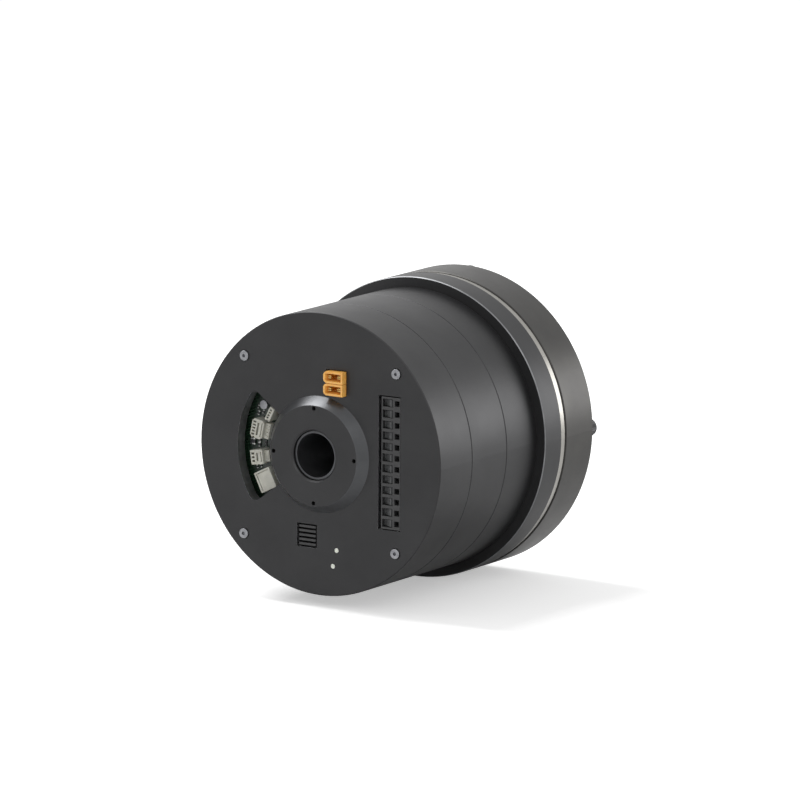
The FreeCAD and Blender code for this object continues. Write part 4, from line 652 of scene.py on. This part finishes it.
def sink(shape, low_x, high_x, low_z, high_z, top, depth):
    """Cut a rectangular well into a block's top face, which looks towards -Y, in mm."""
    for at, way in ((low_x, (1, 0, 0)), (high_x, (1, 0, 0)), (low_z, (0, 0, 1)),
                    (high_z, (0, 0, 1))):
        spot = Vector(way) * at * MM
        near = [f for f in shape.faces if f.normal.y < -0.9]
        geom = near + in_order(e for f in near for e in f.edges) + in_order(
            v for f in near for v in f.verts)
        bmesh.ops.bisect_plane(shape, geom=geom, plane_co=spot, plane_no=way)
    inside = []
    for face in shape.faces:
        middle = face.calc_center_median() / MM
        if (low_x < middle.x < high_x and low_z < middle.z < high_z
                and abs(middle.y - top) < 0.01):
            inside.append(face)
    raised = bmesh.ops.extrude_face_region(shape, geom=inside)["geom"]
    lowered = [v for v in raised if isinstance(v, bmesh.types.BMVert)]
    bmesh.ops.translate(shape, verts=lowered, vec=(0, depth * MM, 0))
    bmesh.ops.delete(shape, geom=[f for f in inside if f.is_valid],
                     context="FACES_ONLY")


def soften(shape, edge):
    """Round every sharp edge of a block by some tenths of a millimetre."""
    shape.normal_update()
    sharp = [e for e in shape.edges if len(e.link_faces) == 2
             and e.calc_face_angle(0) > 0.6]
    bmesh.ops.bevel(shape, geom=sharp, offset=edge * MM, segments=2, profile=0.5,
                    affect="EDGES", material=-1, clamp_overlap=True)


header_height = 6.3
slot_wall = 0.55
contacts = bmesh.new()
for name, angle, radius, deep, wide, slots, corner, latch in (
        ("header_a", 152.7, 33.0, 2.8, 6.9, 4, 0.3, 0),
        ("header_b", 168.2, 37.05, 6.5, 9.0, 5, 1.1, 2.5),
        ("header_c", 188.9, 36.85, 6.7, 6.8, 3, 0.3, 2.5),
        ("header_d", 206.7, 35.5, 9.0, 9.9, 0, 0.3, 0)):
    top = board_top - header_height
    shell = bmesh.new()
    bmesh.ops.create_cube(shell, size=1)
    bmesh.ops.scale(shell, verts=shell.verts,
                    vec=(deep * MM, header_height * MM, wide * MM))
    bmesh.ops.translate(shell, verts=shell.verts,
                        vec=(radius * MM, (board_top - header_height / 2) * MM, 0))
    uprights = [e for e in shell.edges
                if abs(e.verts[0].co.y - e.verts[1].co.y) > 0.001]
    bmesh.ops.bevel(shell, geom=uprights, offset=corner * MM, segments=1, profile=0.5,
                    affect="EDGES", material=-1)
    shell.normal_update()
    outer_side = radius + deep / 2
    if slots:
        pitch = (wide - 1.6) / slots
        slot_deep = min(1.7, deep * 0.42)
        for number in range(slots):
            middle = (number - (slots - 1) / 2) * pitch
            sink(shell, outer_side - slot_wall - slot_deep, outer_side - slot_wall,
                 middle - pitch * 0.28, middle + pitch * 0.28, top, 3.2)
            block(contacts, (slot_deep * 0.35, 2.4, pitch * 0.4),
                  (outer_side - slot_wall - slot_deep * 0.6, top + 2.1, middle), 0.05,
                  angle)
        if deep > 4:
            sink(shell, radius - 0.75, radius + 0.25, -wide / 2 + 1.5, wide / 2 - 1.5,
                 top, 1.8)
            sink(shell, radius - deep / 2 + 0.7, radius - deep / 2 + 1.2,
                 -wide / 2 + 1.1, wide / 2 - 1.1, top, 0.7)
    else:
        sink(shell, outer_side - 1.35, outer_side - 0.95, -wide / 2 + 0.8, wide / 2 - 0.8,
             top, 1.6)
        sink(shell, radius - deep / 2 + 0.8, outer_side - 1.75, -wide / 2 + 0.8,
             -wide / 2 + 1.15, top, 0.9)
    soften(shell, 0.09)
    if latch:
        middle = radius - deep / 2 - latch / 2 - 0.02
        block(shell, (latch, 4.5, wide - 1.6), (middle, board_top - 2.25, 0), 0.1)
        for rib in range(4):
            block(shell, (latch * 0.72, 0.5, 0.55),
                  (middle, board_top - 4.6, (rib - 1.5) * (wide - 2.6) / 4), 0.1)
    bmesh.ops.rotate(shell, verts=shell.verts, cent=(0, 0, 0),
                     matrix=Matrix.Rotation(-math.radians(angle), 3, "Y"))
    made = piece(name + "_housing", shell, "case", ivory)
    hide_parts(name)
piece("header_contacts", contacts, "case", tin)
dress(ivory, "header_a", "header_b", "header_c", "header_d")

# ---------------------------------------------------------------------------
# Power sockets: two amber nylon sockets, one over the other, soldered to the
# control board and standing proud of the rear face. One end is chamfered so
# that a plug fits one way. Each holds two gold-plated pins, slit to spring.
# Amber nylon: saturated and glossy; deep in the socket it goes brown.
amber, tree, shader, place = new_finish("amber_nylon", Metallic=0.0, IOR=1.53,
                                        Subsurface_Weight=0.10,
                                        Subsurface_Radius=(1.2 * MM, 0.6 * MM, 0.1 * MM),
                                        Coat_Weight=0.15, Coat_Roughness=0.15)
flow = add(tree, "ShaderNodeTexNoise", {"Vector": place, "Scale": 1000 / 1.2})
surface(tree, shader, drift(tree, place, 4, "#E8A647", "#F3B860"),
        drift(tree, place, 2, 0.26, 0.38), flow.outputs["Fac"], 0.01)
# Gold plate: warm and bright over nickel.
gold, tree, shader, place = new_finish("gold_plate", Metallic=1.0)
buffed = add(tree, "ShaderNodeTexNoise", {"Vector": place, "Scale": 1000 / 0.7})
surface(tree, shader, drift(tree, place, 1.5, "#E8C878", "#F2D88E"),
        drift(tree, place, 1, 0.16, 0.26), buffed.outputs["Fac"], 0.004)
# Sizes and places in mm. Each socket reaches from its left to its right end, and
# half to either side of its middle; cut is the chamfer.
socket_top, socket_length, socket_wall, socket_depth = -126.3, 11.8, 1.1, 7.0
lower_middle, upper_middle = 31.225, 36.975
left, right, half, cut = 3.7, 14.3, 2.8, 1.6
for name, middle in (("power_socket_lower", lower_middle),
                     ("power_socket_upper", upper_middle)):
    rim = bmesh.new()
    outline = [rim.verts.new((x * MM, socket_top * MM, (middle + z) * MM)) for x, z in (
        (left + cut, -half), (right, -half), (right, half), (left + cut, half),
        (left + cut * 0.3, half - cut * 0.4), (left, half - cut), (left, -half + cut),
        (left + cut * 0.3, -half + cut * 0.4))]
    face = rim.faces.new(outline)
    rim.normal_update()
    if face.normal.y > 0:
        face.normal_flip()
    body = bmesh.ops.extrude_face_region(rim, geom=[face], use_keep_orig=True)["geom"]
    far_end = [v for v in body if isinstance(v, bmesh.types.BMVert)]
    bmesh.ops.translate(rim, verts=far_end, vec=(0, socket_length * MM, 0))
    bmesh.ops.recalc_face_normals(rim, faces=rim.faces)
    rim.faces.ensure_lookup_table()
    mouth = min(rim.faces, key=lambda f: f.calc_center_median().y)
    bmesh.ops.inset_region(rim, faces=[mouth], thickness=socket_wall * MM,
                           use_even_offset=True)
    well = bmesh.ops.extrude_face_region(rim, geom=[mouth])["geom"]
    bottom = [v for v in well if isinstance(v, bmesh.types.BMVert)]
    bmesh.ops.translate(rim, verts=bottom, vec=(0, socket_depth * MM, 0))
    if mouth.is_valid:
        bmesh.ops.delete(rim, geom=[mouth], context="FACES_ONLY")
    soften(rim, 0.28)
    made = piece(name + "_shell", rim, "case", amber)
    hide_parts(name)
# Each pin is four leaves of a slightly tapered rod, cut apart by a slit.
pin_radius, pin_tip, pin_length, half_slit, pin_middle = 0.9, 0.78, 5.5, 0.2, -122.05
pins = bmesh.new()
for middle in (lower_middle, upper_middle):
    for across in (6.55, 11.45):
        for turn in range(4):
            leaf = bmesh.ops.create_cone(pins, cap_ends=True, segments=32,
                                         radius1=pin_radius * MM, radius2=pin_tip * MM,
                                         depth=pin_length * MM)["verts"]
            near = list(leaf)
            near += in_order(e for v in leaf for e in v.link_edges)
            near += in_order(f for v in leaf for f in v.link_faces)
            for way in ((1, 0, 0), (0, 1, 0)):
                cut = bmesh.ops.bisect_plane(pins, geom=[g for g in near if g.is_valid],
                                             plane_co=Vector(way) * half_slit * MM,
                                             plane_no=way, clear_inner=True)
                near = [g for g in cut["geom"] if g.is_valid]
                open_rim = [e for e in near if isinstance(e, bmesh.types.BMEdge)
                            and len(e.link_faces) == 1]
                near += bmesh.ops.holes_fill(pins, edges=open_rim, sides=0)["faces"]
            spots = in_order(
                v for g in near if g.is_valid
                for v in ([g] if isinstance(g, bmesh.types.BMVert) else g.verts))
            lay = (Matrix.Translation((across * MM, pin_middle * MM, middle * MM))
                   @ Matrix.Rotation(math.pi / 2, 4, "X")
                   @ Matrix.Rotation(math.pi / 2 * turn, 4, "Z"))
            bmesh.ops.transform(pins, verts=spots, matrix=lay)
made = piece("split_power_pins", pins, "case", gold)
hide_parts("power_pins")
dress(amber, "power_socket_lower", "power_socket_upper")
dress(gold, "power_pins")

# ---------------------------------------------------------------------------
# Terminal block: a black nylon block of twelve spring clamps at 5.08 mm. Each
# has a ribbed lever that is pressed down to open it, and a square wire entry
# with a tinned clamp behind it.
# Glass-filled nylon: black with a dull, slightly streaky skin.
nylon, tree, shader, place = new_finish("glass_filled_nylon", Metallic=0.0, IOR=1.53)
fibres = add(tree, "ShaderNodeTexNoise", {"Vector": place, "Scale": 1000 / 0.5,
                                          "Distortion": 0.8})
surface(tree, shader, drift(tree, place, 3, "#2B2B2C", "#343435"),
        drift(tree, place, 2, 0.42, 0.55), fibres.outputs["Fac"], 0.01, 0.15)
dress(nylon, "terminal_block", "vent_louvre")
# Each cell's lever slopes 27 degrees down towards its wire entry; sizes in mm.
ways, way_pitch, slope_angle = 12, 5.08, -27
levers = bmesh.new()
clamps = bmesh.new()
for number in range(ways):
    middle = (number - (ways - 1) / 2) * way_pitch
    ramp = bmesh.new()
    block(ramp, (5.3, 0.9, 3.3), (0, 0, 0), 0.15)
    for rib in range(4):
        block(ramp, (0.45, 0.35, 3.0), (-1.7 + rib * 0.95, -0.55, 0), 0.1)
    block(ramp, (1.0, 0.9, 3.3), (-2.3, -0.5, 0), 0.15)
    bmesh.ops.rotate(ramp, verts=ramp.verts, cent=(0, 0, 0),
                     matrix=Matrix.Rotation(math.radians(slope_angle), 3, "Z"))
    bmesh.ops.translate(ramp, verts=ramp.verts,
                        vec=(37.05 * MM, -121.75 * MM, middle * MM))
    copy = bpy.data.meshes.new("lever")
    ramp.to_mesh(copy)
    ramp.free()
    levers.from_mesh(copy)
    bpy.data.meshes.remove(copy)
    block(clamps, (1.9, 0.25, 2.1), (42.35, -117.6, middle), 0.06)
    block(clamps, (0.25, 1.6, 2.1), (41.2, -118.4, middle), 0.06)
# Lever nylon: the same plastic in a dark grey.
lever_nylon, tree, shader, place = new_finish("grey_lever_nylon", Metallic=0.0, IOR=1.53)
fibres = add(tree, "ShaderNodeTexNoise", {"Vector": place, "Scale": 1000 / 0.5})
surface(tree, shader, drift(tree, place, 2, "#3C3D3E", "#4A4B4C"),
        drift(tree, place, 2, 0.38, 0.5), fibres.outputs["Fac"], 0.01)
piece("clamp_levers", levers, "case", lever_nylon)
piece("wire_clamps", clamps, "case", tin)

# ---------------------------------------------------------------------------
# Light pipes: two clear acrylic rods that bring status lights from the board
# to the rear face. Their ends are polished and look pale green-white.
acrylic, tree, shader, place = new_finish("clear_acrylic", Metallic=0.0, IOR=1.49,
                                          Subsurface_Weight=0.3,
                                          Subsurface_Radius=(1.5 * MM, 1.8 * MM, 1.4 * MM),
                                          Coat_Weight=0.4, Coat_Roughness=0.05)
cloud = add(tree, "ShaderNodeTexNoise", {"Vector": place, "Scale": 1000 / 0.8})
surface(tree, shader, drift(tree, place, 0.9, "#D9DDD0", "#EEF1E6"),
        drift(tree, place, 1, 0.12, 0.2), cloud.outputs["Fac"], 0.004, 0.15)
dress(acrylic, "light_pipes")
